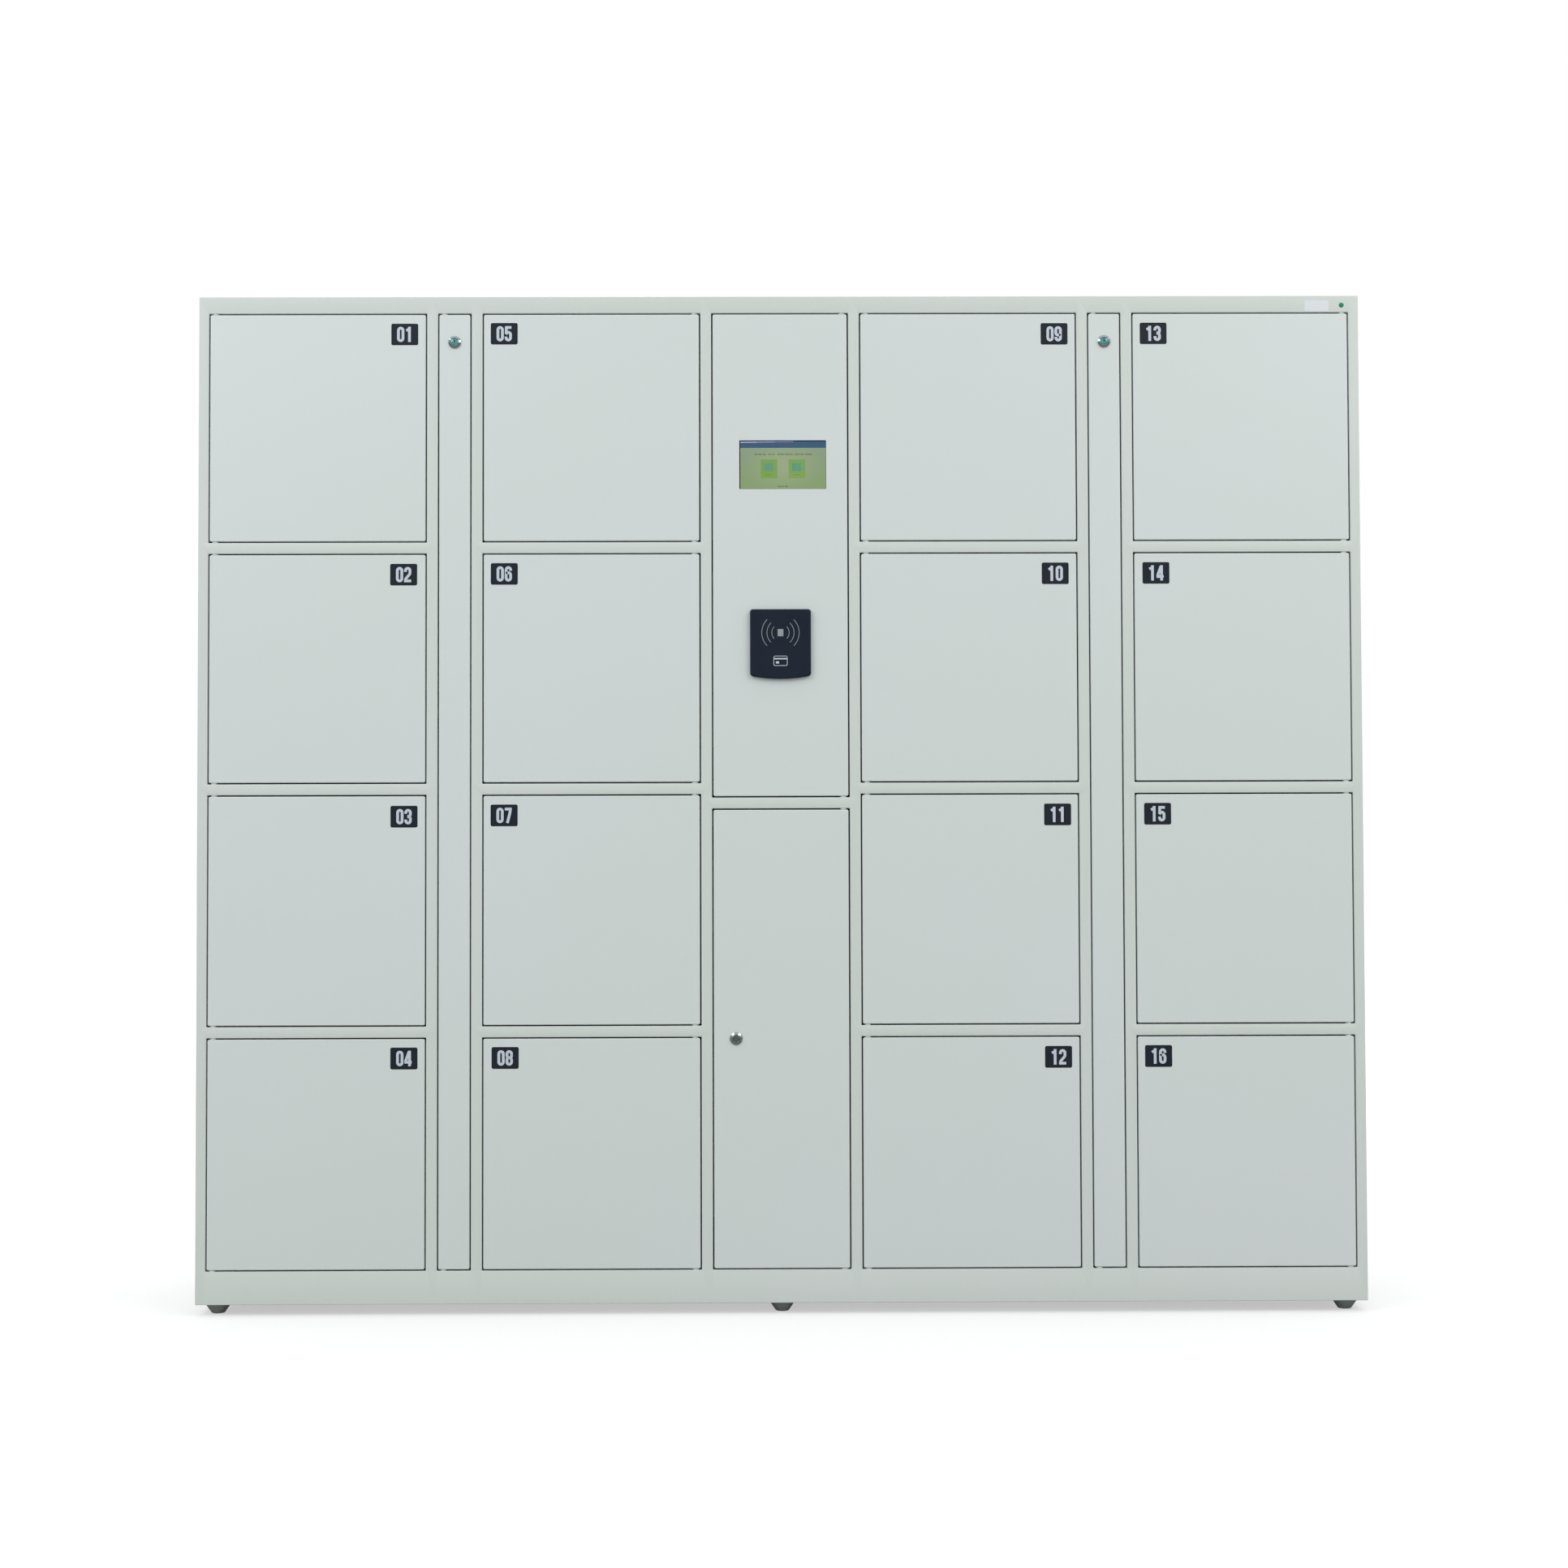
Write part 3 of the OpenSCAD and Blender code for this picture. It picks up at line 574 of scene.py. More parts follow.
# %% Make the metals
def make_metal(name, first, second, rough, spread, skin_size, depth):
    """Metal: a drifting tint that mirrors, with wiping marks in the roughness and a fine skin."""
    material, tree, shader, place = start_material(name)
    tree.links.new(drifting(tree, place, 55.0, first, second), shader.inputs["Base Color"])
    shader.inputs["Metallic"].default_value = 1.0
    gloss, _ = touched(tree, place, 30.0, 0.6, spread, rough)
    tree.links.new(gloss, shader.inputs["Roughness"])
    dimple(tree, shader, place, skin_size, depth)
    return material


ZINC = make_metal("zinc_plate", (0.62, 0.63, 0.6), (0.56, 0.59, 0.64), 0.34, 0.2, 900, 0.01)
CHROME = make_metal("chrome", (0.62, 0.68, 0.68), (0.58, 0.65, 0.66), 0.08, 0.12, 300, 0.002)
PLUG_TEAL = make_metal("plug_teal", (0.24, 0.68, 0.66), (0.3, 0.66, 0.64), 0.22, 0.1, 300, 0.002)
PLUG_GREY = make_metal("plug_grey", (0.4, 0.43, 0.4), (0.43, 0.45, 0.42), 0.24, 0.1, 300, 0.002)
CASE_METAL = make_metal("supply_case", (0.6, 0.61, 0.62), (0.66, 0.66, 0.67), 0.4, 0.15, 800, 0.01)
print("metals:", [m.name for m in (ZINC, CHROME, PLUG_TEAL, PLUG_GREY, CASE_METAL)])

# %% [markdown]
# ## Plastics, vinyl and paper
#
# Moulded plastic has a fine even grain. Printed vinyl is smoother. All of them share one recipe
# with their own tint, gloss and grain.


# %% Make the plastics
def make_plastic(name, first, second, rough, shine, grain, depth, cover=0.3):
    """Plastic, vinyl or paper: a drifting tint with dust on top, smudged gloss and a fine grain."""
    material, tree, shader, place = start_material(name)
    tint = drifting(tree, place, 20.0, first, second)
    gloss, _ = touched(tree, place, 18.0, cover, 0.15, rough)
    settled = use_effect(tree, DUST, place, Amount=0.4)
    tree.links.new(mixed(tree, settled, tint, colour(0.3, 0.29, 0.27)), shader.inputs["Base Color"])
    tree.links.new(gloss, shader.inputs["Roughness"])
    shader.inputs["Specular IOR Level"].default_value = shine
    dimple(tree, shader, place, grain, depth)
    return material


PLATE = make_plastic("plate_vinyl", (0.012, 0.016, 0.026), (0.015, 0.018, 0.029), 0.42, 0.3, 900, 0.01)
PRINT = make_plastic("white_print", (0.55, 0.6, 0.68), (0.58, 0.62, 0.7), 0.5, 0.3, 900, 0.01)
READER = make_plastic("reader_plastic", (0.008, 0.014, 0.03), (0.01, 0.016, 0.033), 0.38, 0.3, 1500, 0.01)
READER_PRINT = make_plastic("reader_print", (0.3, 0.32, 0.36), (0.32, 0.34, 0.38), 0.5, 0.3, 900, 0.01)
BLACK = make_plastic("black_plastic", (0.018, 0.018, 0.019), (0.022, 0.022, 0.023), 0.5, 0.35, 1200, 0.02)
RUBBER = make_plastic("rubber", (0.02, 0.02, 0.02), (0.03, 0.03, 0.029), 0.75, 0.25, 700, 0.03)
FOOT = make_plastic("foot_plastic", (0.27, 0.3, 0.3), (0.3, 0.315, 0.3), 0.5, 0.35, 800, 0.02)
NYLON = make_plastic("white_nylon", (0.62, 0.64, 0.62), (0.66, 0.67, 0.65), 0.45, 0.4, 900, 0.01)
# Painted shade: near black for the inside of the lock keyways, where the slot lies in shade.
KEYWAY_SHADE = make_plastic("painted_keyway_shade", (0.002, 0.002, 0.002), (0.003, 0.003, 0.003), 0.9, 0.05, 900, 0.01)
PAPER = make_plastic("label_paper", (0.74, 0.76, 0.79), (0.71, 0.73, 0.77), 0.6, 0.3, 2500, 0.01)
GREEN = make_plastic("green_vinyl", (0.004, 0.2, 0.1), (0.006, 0.24, 0.12), 0.45, 0.3, 900, 0.01)
print("materials:", len(bpy.data.materials))

# %% [markdown]
# ## Face frame
#
# The stiles, mullions and rails are welded and ground flush before spraying, so the front shows
# one sheet with openings and no seams. A grid of cells between all the opening edges is kept
# where no opening lies; its rims get the small radius of a folded tube.


# %% Build the face frame
FOLD_ANGLE = 35


def vertex_places(mesh):
    """A mesh's vertices as an array of points."""
    places = np.empty(len(mesh.vertices) * 3)
    mesh.vertices.foreach_get("co", places)
    return places.reshape(-1, 3)


def cell_slab(xs, zs, kept, y0, y1):
    """Slab of the kept cells of a grid: front, back, and a wall wherever kept meets not kept."""
    nx, nz = len(xs), len(zs)
    x, z = np.meshgrid(xs, zs, indexing="ij")
    layers = [np.stack([x, np.full_like(x, y), z], -1).reshape(-1, 3) for y in (y0, y1)]
    points = np.concatenate(layers)
    back = nx * nz
    i, j = np.nonzero(kept)
    a, b, c, d = i * nz + j, (i + 1) * nz + j, (i + 1) * nz + j + 1, i * nz + j + 1
    faces = [np.stack([a, b, c, d], 1), np.stack([a, d, c, b], 1) + back]
    padded = np.pad(kept, 1)
    for step_i, step_j, p, q in ((-1, 0, a, d), (1, 0, b, c), (0, -1, a, b), (0, 1, d, c)):
        open_side = ~padded[i + 1 + step_i, j + 1 + step_j]
        p, q = p[open_side], q[open_side]
        faces.append(np.stack([p, q, q + back, p + back], 1))
    faces = np.concatenate(faces)
    used, faces = np.unique(faces, return_inverse=True)
    return points[used], faces.reshape(-1, 4).tolist()


def every_rim(middles):
    """Accepts all edges."""
    return np.ones(len(middles), bool)


def round_edges(piece, width, steps, chosen):
    """Bevels the edges that are sharper than FOLD_ANGLE and whose middles chosen() accepts."""
    mesh = piece.data
    ends = np.empty(len(mesh.edges) * 2, int)
    mesh.edges.foreach_get("vertices", ends)
    middles = vertex_places(mesh)[ends.reshape(-1, 2)].mean(1)
    look = bmesh.new()
    look.from_mesh(mesh)
    turns = np.array([edge.calc_face_angle(0.0) for edge in look.edges])
    look.free()
    weight = ((turns > math.radians(FOLD_ANGLE)) & chosen(middles)).astype(np.float32)
    mesh.attributes.new("bevel_weight_edge", "FLOAT", "EDGE").data.foreach_set("value", weight)
    bevel = piece.modifiers.new("rounded_edges", "BEVEL")
    bevel.limit_method = "WEIGHT"
    bevel.width = width
    bevel.segments = steps
    bevel.miter_outer = "MITER_ARC"


def openings_grid(openings, left, right, low, high):
    """Grid lines from all opening edges, and which cells lie in no opening."""
    xs = sorted({round(v, 6) for o in openings for v in o[:2]} | {left, right})
    zs = sorted({round(v, 6) for o in openings for v in o[2:]} | {low, high})
    mid_x = (np.array(xs)[1:] + np.array(xs)[:-1]) / 2
    mid_z = (np.array(zs)[1:] + np.array(zs)[:-1]) / 2
    x, z = np.meshgrid(mid_x, mid_z, indexing="ij")
    kept = np.ones(x.shape, bool)
    for x0, x1, z0, z1 in openings:
        kept &= ~((x > x0) & (x < x1) & (z > z0) & (z < z1))
    return np.array(xs), np.array(zs), kept


FRONT_OPENINGS = [(x0 - GAP, x1 + GAP, z0 - GAP, z1 + GAP) for x0, x1, z0, z1 in LEAVES.values()]
grid_x, grid_z, kept = openings_grid(FRONT_OPENINGS, -BODY_HALF, BODY_HALF, BODY_BOTTOM,
                                     FRAME_HIGH.z)
face_frame = add_piece(
    "face_frame", [cell_slab(grid_x, grid_z, kept, FACE_Y, FRAME_BACK)], [COAT], CABINET,
    ("frame_stiles", "frame_rails"))


def frame_rims(middles):
    """All rims but the outer back ones and the top, which meet the panels without a groove."""
    at_side = np.abs(np.abs(middles[:, 0]) - BODY_HALF) < MM
    at_back = middles[:, 1] > FRAME_BACK - MM
    return ~((at_side & at_back) | (middles[:, 2] > BODY_TOP - 5 * MM))


round_edges(face_frame, 0.9 * MM, 3, frame_rims)
print("face frame:", kept.sum(), "cells kept,", len(FRONT_OPENINGS), "openings")

# %% [markdown]
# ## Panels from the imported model
#
# A flat panel already has the right shape, so a copy of its mesh is merged, its flat triangles
# are joined, and its rims get a small radius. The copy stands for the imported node.


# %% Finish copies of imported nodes
def finished_copy(node, material, body, edge, steps=1, chosen=every_rim):
    """Merged copy of a node with its flat faces joined and, if edge isn't 0, its rims rounded."""
    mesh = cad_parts[node].data.copy()
    mesh.name = f"{node}_finished"
    tidy = bmesh.new()
    tidy.from_mesh(mesh)
    bmesh.ops.remove_doubles(tidy, verts=tidy.verts, dist=2e-6)
    bmesh.ops.dissolve_limit(tidy, angle_limit=math.radians(0.4), verts=tidy.verts, edges=tidy.edges)
    tidy.to_mesh(mesh)
    tidy.free()
    mesh.materials.clear()
    mesh.materials.append(material)
    mesh.polygons.foreach_set("material_index", np.zeros(len(mesh.polygons), int))
    piece = finish_piece(f"{node}_finished", mesh, body, (node,))
    if edge:
        round_edges(piece, edge, steps, chosen)


def top_rims(middles):
    """The rims of the top panel that show."""
    return middles[:, 2] > BODY_TOP - 0.2 * MM


def side_rims(middles):
    """The rims of the side panels behind the frame and under the top."""
    return (middles[:, 1] > FRAME_BACK + MM) & (middles[:, 2] < BODY_TOP - 3 * MM)


finished_copy("side_panels", COAT, CABINET, 0.5 * MM, 2, side_rims)
finished_copy("top_panel", COAT, CABINET, 0.9 * MM, 3, top_rims)
finished_copy("back_panels", COAT, CABINET, 0)
finished_copy("partitions", INNER_COAT, CABINET, 0)
finished_copy("shelves", INNER_COAT, CABINET, 0.3 * MM)
finished_copy("base_tray", INNER_COAT, CABINET, 0.3 * MM)
finished_copy("latch_cases", ZINC, CABINET, 0.3 * MM)
finished_copy("power_supply", CASE_METAL, CABINET, 0.8 * MM, 2)
finished_copy("mains_inlet", BLACK, CABINET, 0.4 * MM, 2)
for n in NUMBERS:
    finished_copy(f"latch_{n}", ZINC, f"latch_{n}", 0.4 * MM, 2)

# %% [markdown]
# ## Parcel doors
#
# Each door is a pan of folded sheet closed by a back skin. The front has a fold radius of about
# a millimetre and a half all round. The back skin is pressed in a little inside a flat margin,
# which stiffens it. On the back sits the zinc strike that the electric latch hooks into.

# %% Build the doors
DOOR_CORNER = 3 * MM
FOLD = 1.4 * MM
PRESSED_FIELD = ((22, 0.0), (22.6, -0.15), (24.4, -0.9), (25, -1.05), (26, -1.05))
STRIKE = 2 * MM
BLADE_FROM = 30 * MM
STRIKE_WINDOW = (33 * MM, 51 * MM)
WINDOW_HALF = 5 * MM


def door_profile():
    """Front fold, side, back rim, and a shallow pressed field on the back."""
    skin = soft_profile(LEAF_DEPTH, FOLD, 4)
    return np.concatenate([skin, np.array(PRESSED_FIELD) * MM + [0, LEAF_DEPTH]])


def strike_parts(node):
    """Two plates of the strike angle: the foot on the door and the blade with its window."""
    points = vertex_places(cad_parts[node].data)
    behind = points[points[:, 1] > FACE_Y + LEAF_DEPTH + 0.02 * MM]
    low, high = behind.min(0), behind.max(0)
    deep = behind[behind[:, 1] > FACE_Y + BLADE_FROM]
    on_left = np.isclose(deep[:, 0].min(), low[0], atol=MM)
    blade_x = (low[0], low[0] + STRIKE) if on_left else (high[0] - STRIKE, high[0])
    middle = (low[2] + high[2]) / 2
    depths = np.array([low[1], *(FACE_Y + d for d in STRIKE_WINDOW), high[1]])
    heights = np.array([low[2], middle - WINDOW_HALF, middle + WINDOW_HALF, high[2]])
    kept = np.ones((3, 3), bool)
    kept[1, 1] = False
    points, faces = cell_slab(depths, heights, kept, *blade_x)
    blade = (points[:, [1, 0, 2]], faces, 1)
    foot = block(low, (high[0], low[1] + STRIKE, high[2]))
    return [blade, (*foot, 1)]


for n in NUMBERS:
    edges = LEAVES[f"door_{n}"]
    skin = loft(carried(edges, DOOR_CORNER, door_profile(), FACE_Y, 6))
    add_piece(f"door_{n}_skin", [skin] + strike_parts(f"door_{n}"), [LEAF_COAT, ZINC],
              f"door_{n}", (f"door_{n}",))
print("doors:", len(NUMBERS), "of", round((edges[1] - edges[0]) / MM), "x",
      round((edges[3] - edges[2]) / MM), "mm")

# %% [markdown]
# ## Covers, control door and service door
#
# These are open trays: the front skin, a wall folded back all round, and a lip folded in. The
# control door has a window for the screen, so its front skin is filled between two loops.


# %% Build the trays
def cap_with_holes(outer, holes, y):
    """Flat face between an outer loop and hole loops, filled with triangles."""
    loops = [outer] + holes
    faces = tessellate_polygon([[(x, z, 0.0) for x, z in loop] for loop in loops])
    return upright(np.concatenate(loops), y), [list(face) for face in faces]


def tray_rings(edges):
    """Rings from the margin of the front skin, over the fold, round the lip, to the inner skin."""
    t = np.linspace(0, math.pi / 2, 5)
    fold = np.stack([FOLD * (1 - np.sin(t)), FOLD * (1 - np.cos(t))], 1)
    lip, wall = 12 * MM, LEAF_DEPTH
    rest = [(0.0, wall - 0.5 * MM), (0.15 * MM, wall - 0.15 * MM), (0.5 * MM, wall),
            (lip - 0.3 * MM, wall), (lip, wall - 0.3 * MM), (lip, wall - SHEET),
            (SHEET, wall - SHEET), (SHEET, SHEET)]
    margin = [(FOLD * 1.2, 0.0)]
    return carried(edges, DOOR_CORNER, np.concatenate([margin, fold, rest]), FACE_Y, 6)


def tray(name, holes=()):
    """A tray's folded rim plus its front and inner skins, with holes through both."""
    rings = tray_rings(LEAVES[name])
    parts = [loft(rings, not holes, not holes)]
    for ring in ((rings[0], rings[-1]) if holes else ()):
        parts.append(cap_with_holes(ring[:, [0, 2]], list(holes), ring[0, 1]))
    for hole in holes:
        parts.append(loft([upright(hole, FACE_Y + depth) for depth in (0.0, SHEET)], False, False))
    add_piece(f"{name}_skin", parts, [LEAF_COAT], name, (name,))


SCREEN_LOW, SCREEN_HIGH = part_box("touch_screen")
SCREEN_RIM = 10 * MM
PICTURE = (SCREEN_LOW.x + SCREEN_RIM, SCREEN_HIGH.x - SCREEN_RIM,
           SCREEN_LOW.z + SCREEN_RIM, SCREEN_HIGH.z - SCREEN_RIM)
WINDOW = rounded_loop((PICTURE[0] - MM, PICTURE[1] + MM, PICTURE[2] - MM, PICTURE[3] + MM), MM)
for name in ("cover_left", "cover_right", "service_door"):
    tray(name)
tray("control_door", [WINDOW])
print("window:", [round(v / MM, 1) for v in PICTURE], "mm")

# %% [markdown]
# ## Number plates
#
# Each door has a printed vinyl plate by its lock-side top corner. They are stuck on by hand, so
# each sits a millimetre or so off. The digits are heavy and narrow. Each digit is a few wide
# strokes along paths of lines and arcs, laid one over another by a hair so that none coincide.

# %% Draw the digits
PLATE_SIZE = (48.3 * MM, 38.8 * MM)
PLATE_PROUD = 0.35 * MM
PLATE_FROM_SIDE = 13.6 * MM
PLATE_FROM_TOP = 15.8 * MM
PLATE_WANDER = 1.3
DIGIT_GAP = 1.6
DIGIT_W, DIGIT_H, STROKE = 13.0, 27.5, 4.9
HALF = STROKE / 2
BOW = DIGIT_W / 2 - HALF
MID = DIGIT_H / 2
LEFT, RIGHT, LOW, HIGH = HALF, DIGIT_W - HALF, HALF, DIGIT_H - HALF


def bow(centre_z, start, end):
    """Arc between a digit's two sides, about centre_z."""
    return arc((DIGIT_W / 2, centre_z), BOW, start, end, 12)


def line(*points):
    """Straight runs between points, with a few points along each so that the ends stay square."""
    points = np.array(points, float)
    steps = np.linspace(0, 1, 5)[:, None]
    return np.concatenate([a + (b - a) * steps for a, b in zip(points[:-1], points[1:])])


def joined(*runs):
    """Runs of points one after another, without repeated points."""
    path = np.concatenate(runs)
    keep = np.ones(len(path), bool)
    keep[1:] = np.linalg.norm(np.diff(path, axis=0), axis=1) > 1e-3
    return path[keep]


UPPER, LOWER = HIGH - BOW, LOW + BOW
STROKES = {
    "0": [joined(line((RIGHT, MID), (RIGHT, UPPER)), bow(UPPER, 0, 180),
                 line((LEFT, UPPER), (LEFT, LOWER)), bow(LOWER, 180, 360),
                 line((RIGHT, LOWER), (RIGHT, MID - 0.02)))],
    "1": [line((7.6, 0), (7.6, DIGIT_H)), line((6.6, 23.2), (2.0, 20.6))],
    "2": [joined(line((LEFT, 18.6), (LEFT, UPPER)), bow(UPPER, 180, 0),
                 line((RIGHT, UPPER), (RIGHT, 16.8), (RIGHT - 0.7, 14.2), (LEFT + 0.8, 6.6), (LEFT, 3.4))),
          line((0, LOW), (DIGIT_W - 0.3, LOW))],
    "3": [joined(line((LEFT, 19.0), (LEFT, UPPER)), bow(UPPER, 180, 0),
                 line((RIGHT, UPPER), (RIGHT, 17.2), (RIGHT - 1.2, 14.9), (5.4, 14.2))),
          joined(line((5.4, 13.9), (RIGHT - 1.2, 13.0), (RIGHT, 10.8), (RIGHT, LOWER)),
                 bow(LOWER, 0, -180), line((LEFT, LOWER), (LEFT, 8.6)))],
    "4": [line((9.3, 0), (9.3, DIGIT_H)), line((8.2, 25.6), (2.1, 8.4)), line((0.2, 7.2), (DIGIT_W, 7.2))],
    "5": [line((1.2, HIGH), (DIGIT_W - 0.8, HIGH)), line((LEFT + 0.6, DIGIT_H - 0.6), (LEFT + 0.2, 13.6)),
          joined(line((LEFT, 12.6), (LEFT + 1.2, 14.6)), bow(16.3 - BOW, 130, 0),
                 line((RIGHT, 12.0), (RIGHT, LOWER)), bow(LOWER, 0, -180),
                 line((LEFT, LOWER), (LEFT, 8.4)))],
    "6": [joined(line((RIGHT, 19.4), (RIGHT, UPPER)), bow(UPPER, 0, 180),
                 line((LEFT, UPPER), (LEFT, LOWER)), bow(LOWER, 180, 360),
                 line((RIGHT, LOWER), (RIGHT, 16.0 - BOW)), bow(16.0 - BOW, 0, 150))],
    "7": [line((0.4, HIGH), (DIGIT_W - 0.2, HIGH)), line((RIGHT + 0.1, HIGH), (RIGHT - 1.6, 15.0)),
          line((RIGHT - 1.5, 15.8), (5.0, 0))],
    "8": [joined(line((RIGHT, 19.5), (RIGHT, UPPER)), bow(UPPER, 0, 180),
                 line((LEFT, UPPER), (LEFT, 18.2), (LEFT + 1.2, 14.2), (RIGHT - 1.2, 13.6),
                      (RIGHT, 17.6), (RIGHT, 19.5))),
          joined(line((RIGHT, 8.0), (RIGHT, 9.8), (RIGHT - 1.2, 13.6), (LEFT + 1.2, 14.0),
                      (LEFT, 10.2), (LEFT, LOWER)),
                 bow(LOWER, 180, 360), line((RIGHT, LOWER), (RIGHT, 8.0)))],
}
STROKES["9"] = [np.array([DIGIT_W, DIGIT_H]) - stroke for stroke in STROKES["6"]]


def digit_parts(digit, left, bottom, y):
    """The strokes of one digit as thin raised ribbons, each a hair prouder than the one before."""
    parts = []
    for layer, stroke in enumerate(STROKES[digit]):
        path = stroke * MM + np.array([left, bottom])
        parts.append((*ribbon(path, STROKE * MM, y - (0.1 + 0.02 * layer) * MM, y + 0.05 * MM), 1))
    return parts


SEED = 16
rng = np.random.default_rng(SEED)
for n in NUMBERS:
    x0, x1, z0, z1 = LEAVES[f"door_{n}"]
    drift_x, drift_z = rng.uniform(-PLATE_WANDER, PLATE_WANDER, 2) * MM
    on_right = x1 - PLATE_FROM_SIDE - PLATE_SIZE[0]
    left = (on_right if hinged_on_left(f"door_{n}") else x0 + PLATE_FROM_SIDE) + drift_x
    top = z1 - PLATE_FROM_TOP + drift_z
    edges = (left, left + PLATE_SIZE[0], top - PLATE_SIZE[1], top)
    profile = soft_profile(PLATE_PROUD, 0.12 * MM, 2)
    parts = [loft(carried(edges, 3 * MM, profile, FACE_Y - PLATE_PROUD, 6))]
    start = (edges[0] + edges[1]) / 2 - (DIGIT_W + DIGIT_GAP / 2) * MM
    bottom = (edges[2] + edges[3]) / 2 - DIGIT_H / 2 * MM
    for place, digit in enumerate(n):
        digit_left = start + place * (DIGIT_W + DIGIT_GAP) * MM
        parts += digit_parts(digit, digit_left, bottom, FACE_Y - PLATE_PROUD)
    add_piece(f"number_plate_{n}", parts, [PLATE, PRINT], f"door_{n}")
print("plates:", len(NUMBERS), "each", [round(v / MM, 1) for v in PLATE_SIZE], "mm")

# %% [markdown]
# ## Touch screen
#
# The screen sits behind the window in a dark case. Its lit picture is made of thin plates, each a
# hair in front of the last: a background, a title bar, two buttons with a plain picture and a
# caption bar, and short strokes where lines of writing would be. A lilac streak along the title
# bar's top edge is a painted reflection of the window's edge, made to glow like the picture. The
# light comes from emission, under a glossy surface that takes the room's reflections.


# %% Build the screen
LIT = 0.9
PICTURE_MIDDLE = ((PICTURE[0] + PICTURE[1]) / 2, 0.0, (PICTURE[2] + PICTURE[3]) / 2)


def light_up(tree, shader, glow):
    """Lights a material from behind dark glass that mirrors the room weakly."""
    tree.links.new(glow, shader.inputs["Emission Color"])
    shader.inputs["Emission Strength"].default_value = LIT
    shader.inputs["Base Color"].default_value = colour(0.01, 0.012, 0.012)
    shader.inputs["Specular IOR Level"].default_value = 0.35


def make_lit(name, first, second, size=14.0):
    """Glass with finger marks over a lit colour that drifts between two tints."""
    material, tree, shader, place = start_material(name)
    light_up(tree, shader, drifting(tree, place, size, first, second))
    gloss, _ = touched(tree, place, 25.0, 0.5, 0.15, 0.12)
    tree.links.new(gloss, shader.inputs["Roughness"])
    return material


def make_background():
    """Lit background: greyer at the top, yellower below, and a little brighter near the middle."""
    material, tree, shader, place = start_material("lit_background")
    height = add_node(tree, "ShaderNodeSeparateXYZ", [(0, place)]).outputs["Z"]
    rise = between(tree, height, PICTURE[2], PICTURE[3])
    tint = mixed(tree, rise, colour(0.25, 0.36, 0.165), colour(0.27, 0.345, 0.235))
    apart = vector_maths(tree, "SUBTRACT", place, PICTURE_MIDDLE)
    level = vector_maths(tree, "MULTIPLY", apart, (1.0, 0.0, 1.4))
    bright = between(tree, vector_length(tree, level), 0.085, 0.0)
    light_up(tree, shader, mixed(tree, bright, tint, colour(0.33, 0.415, 0.235)))
    shader.inputs["Roughness"].default_value = 0.15
    return material


SCREEN = {
    "case": BLACK,
    "glass": make_plastic("screen_glass", (0.004, 0.005, 0.006), (0.006, 0.006, 0.007),
                          0.1, 0.45, 300, 0.001, 0.5),
    "background": make_background(),
    "title": make_lit("lit_title", (0.035, 0.105, 0.19), (0.055, 0.1, 0.2)),
    # painted reflection: a glowing lilac strip stands for the window's edge mirrored in the glass
    "streak": make_lit("painted_reflection_streak", (0.62, 0.56, 0.86), (0.5, 0.45, 0.75)),
    "button": make_lit("lit_button", (0.19, 0.37, 0.085), (0.22, 0.37, 0.11)),
    "picture": make_lit("lit_picture", (0.085, 0.34, 0.17), (0.14, 0.33, 0.2), 60.0),
    "caption": make_lit("lit_caption", (0.2, 0.39, 0.05), (0.23, 0.39, 0.08)),
    "stroke": make_lit("lit_stroke", (0.15, 0.23, 0.11), (0.17, 0.23, 0.13)),
    "halo": make_lit("lit_halo", (0.25, 0.38, 0.16), (0.27, 0.38, 0.17)),
}
MARKS = {kind: mark for mark, kind in enumerate(SCREEN)}

glass_y = FACE_Y + SHEET + 0.05 * MM
glass_edges = (PICTURE[0] - 5 * MM, PICTURE[1] + 5 * MM, PICTURE[2] - 5 * MM, PICTURE[3] + 5 * MM)
glass = loft(carried(glass_edges, 2 * MM, soft_profile(3 * MM, 0.3 * MM, 2), glass_y))
case_edges = (SCREEN_LOW.x, SCREEN_HIGH.x, SCREEN_LOW.z, SCREEN_HIGH.z)
case_back = np.array([(3, 22.5), (6, 22.5), (6.8, 22.8), (8, 23.7), (9, 24), (30, 24)]) * MM
case_profile = np.concatenate([soft_profile(24 * MM, 1 * MM, 3)[:-1], case_back])
case = loft(carried(case_edges, 4 * MM, case_profile, glass_y + 3.05 * MM))


def lit_plate(kind, x0, x1, z0, z1, layer):
    """A plate of the picture: distances in millimetres from the picture's top left corner."""
    left, top, y = PICTURE[0], PICTURE[3], glass_y - 0.02 * MM * layer
    low = (left + x0 * MM, y, top - z1 * MM)
    high = (left + x1 * MM, glass_y + 0.1 * MM, top - z0 * MM)
    return (*block(low, high, 0.005 * MM), MARKS[kind])


picture_w, picture_h = (PICTURE[1] - PICTURE[0]) / MM, (PICTURE[3] - PICTURE[2]) / MM
lit = [lit_plate("background", 0.9, picture_w + 0.4, 0.7, picture_h + 0.4, 1),
       lit_plate("title", 0.9, picture_w + 0.4, 0.7, 12.6, 2)]
BUTTON_LEFTS = (37.8, 88.2)
BUTTON_PLATES = (("halo", -0.9, 29.9, 32.9, 68.0, 2), ("button", 0, 29, 33.8, 67.1, 3),
                 ("picture", 5.2, 22.4, 40.2, 54.4, 4), ("caption", 1.2, 27.8, 58.0, 65.8, 4),
                 ("stroke", 8.0, 20, 60.6, 61.8, 5))
for left in BUTTON_LEFTS:
    for kind, x0, x1, z0, z1, layer in BUTTON_PLATES:
        lit.append(lit_plate(kind, left + x0, left + x1, z0, z1, layer))
WORDS_ABOVE = ((25.5, 32), (33, 40), (41.5, 47), (51, 57), (58.5, 63), (67, 79), (80.5, 95),
               (98, 107), (108, 115), (117, 130))
WORDS_BELOW = ((68, 74), (75.5, 79), (80.5, 86))
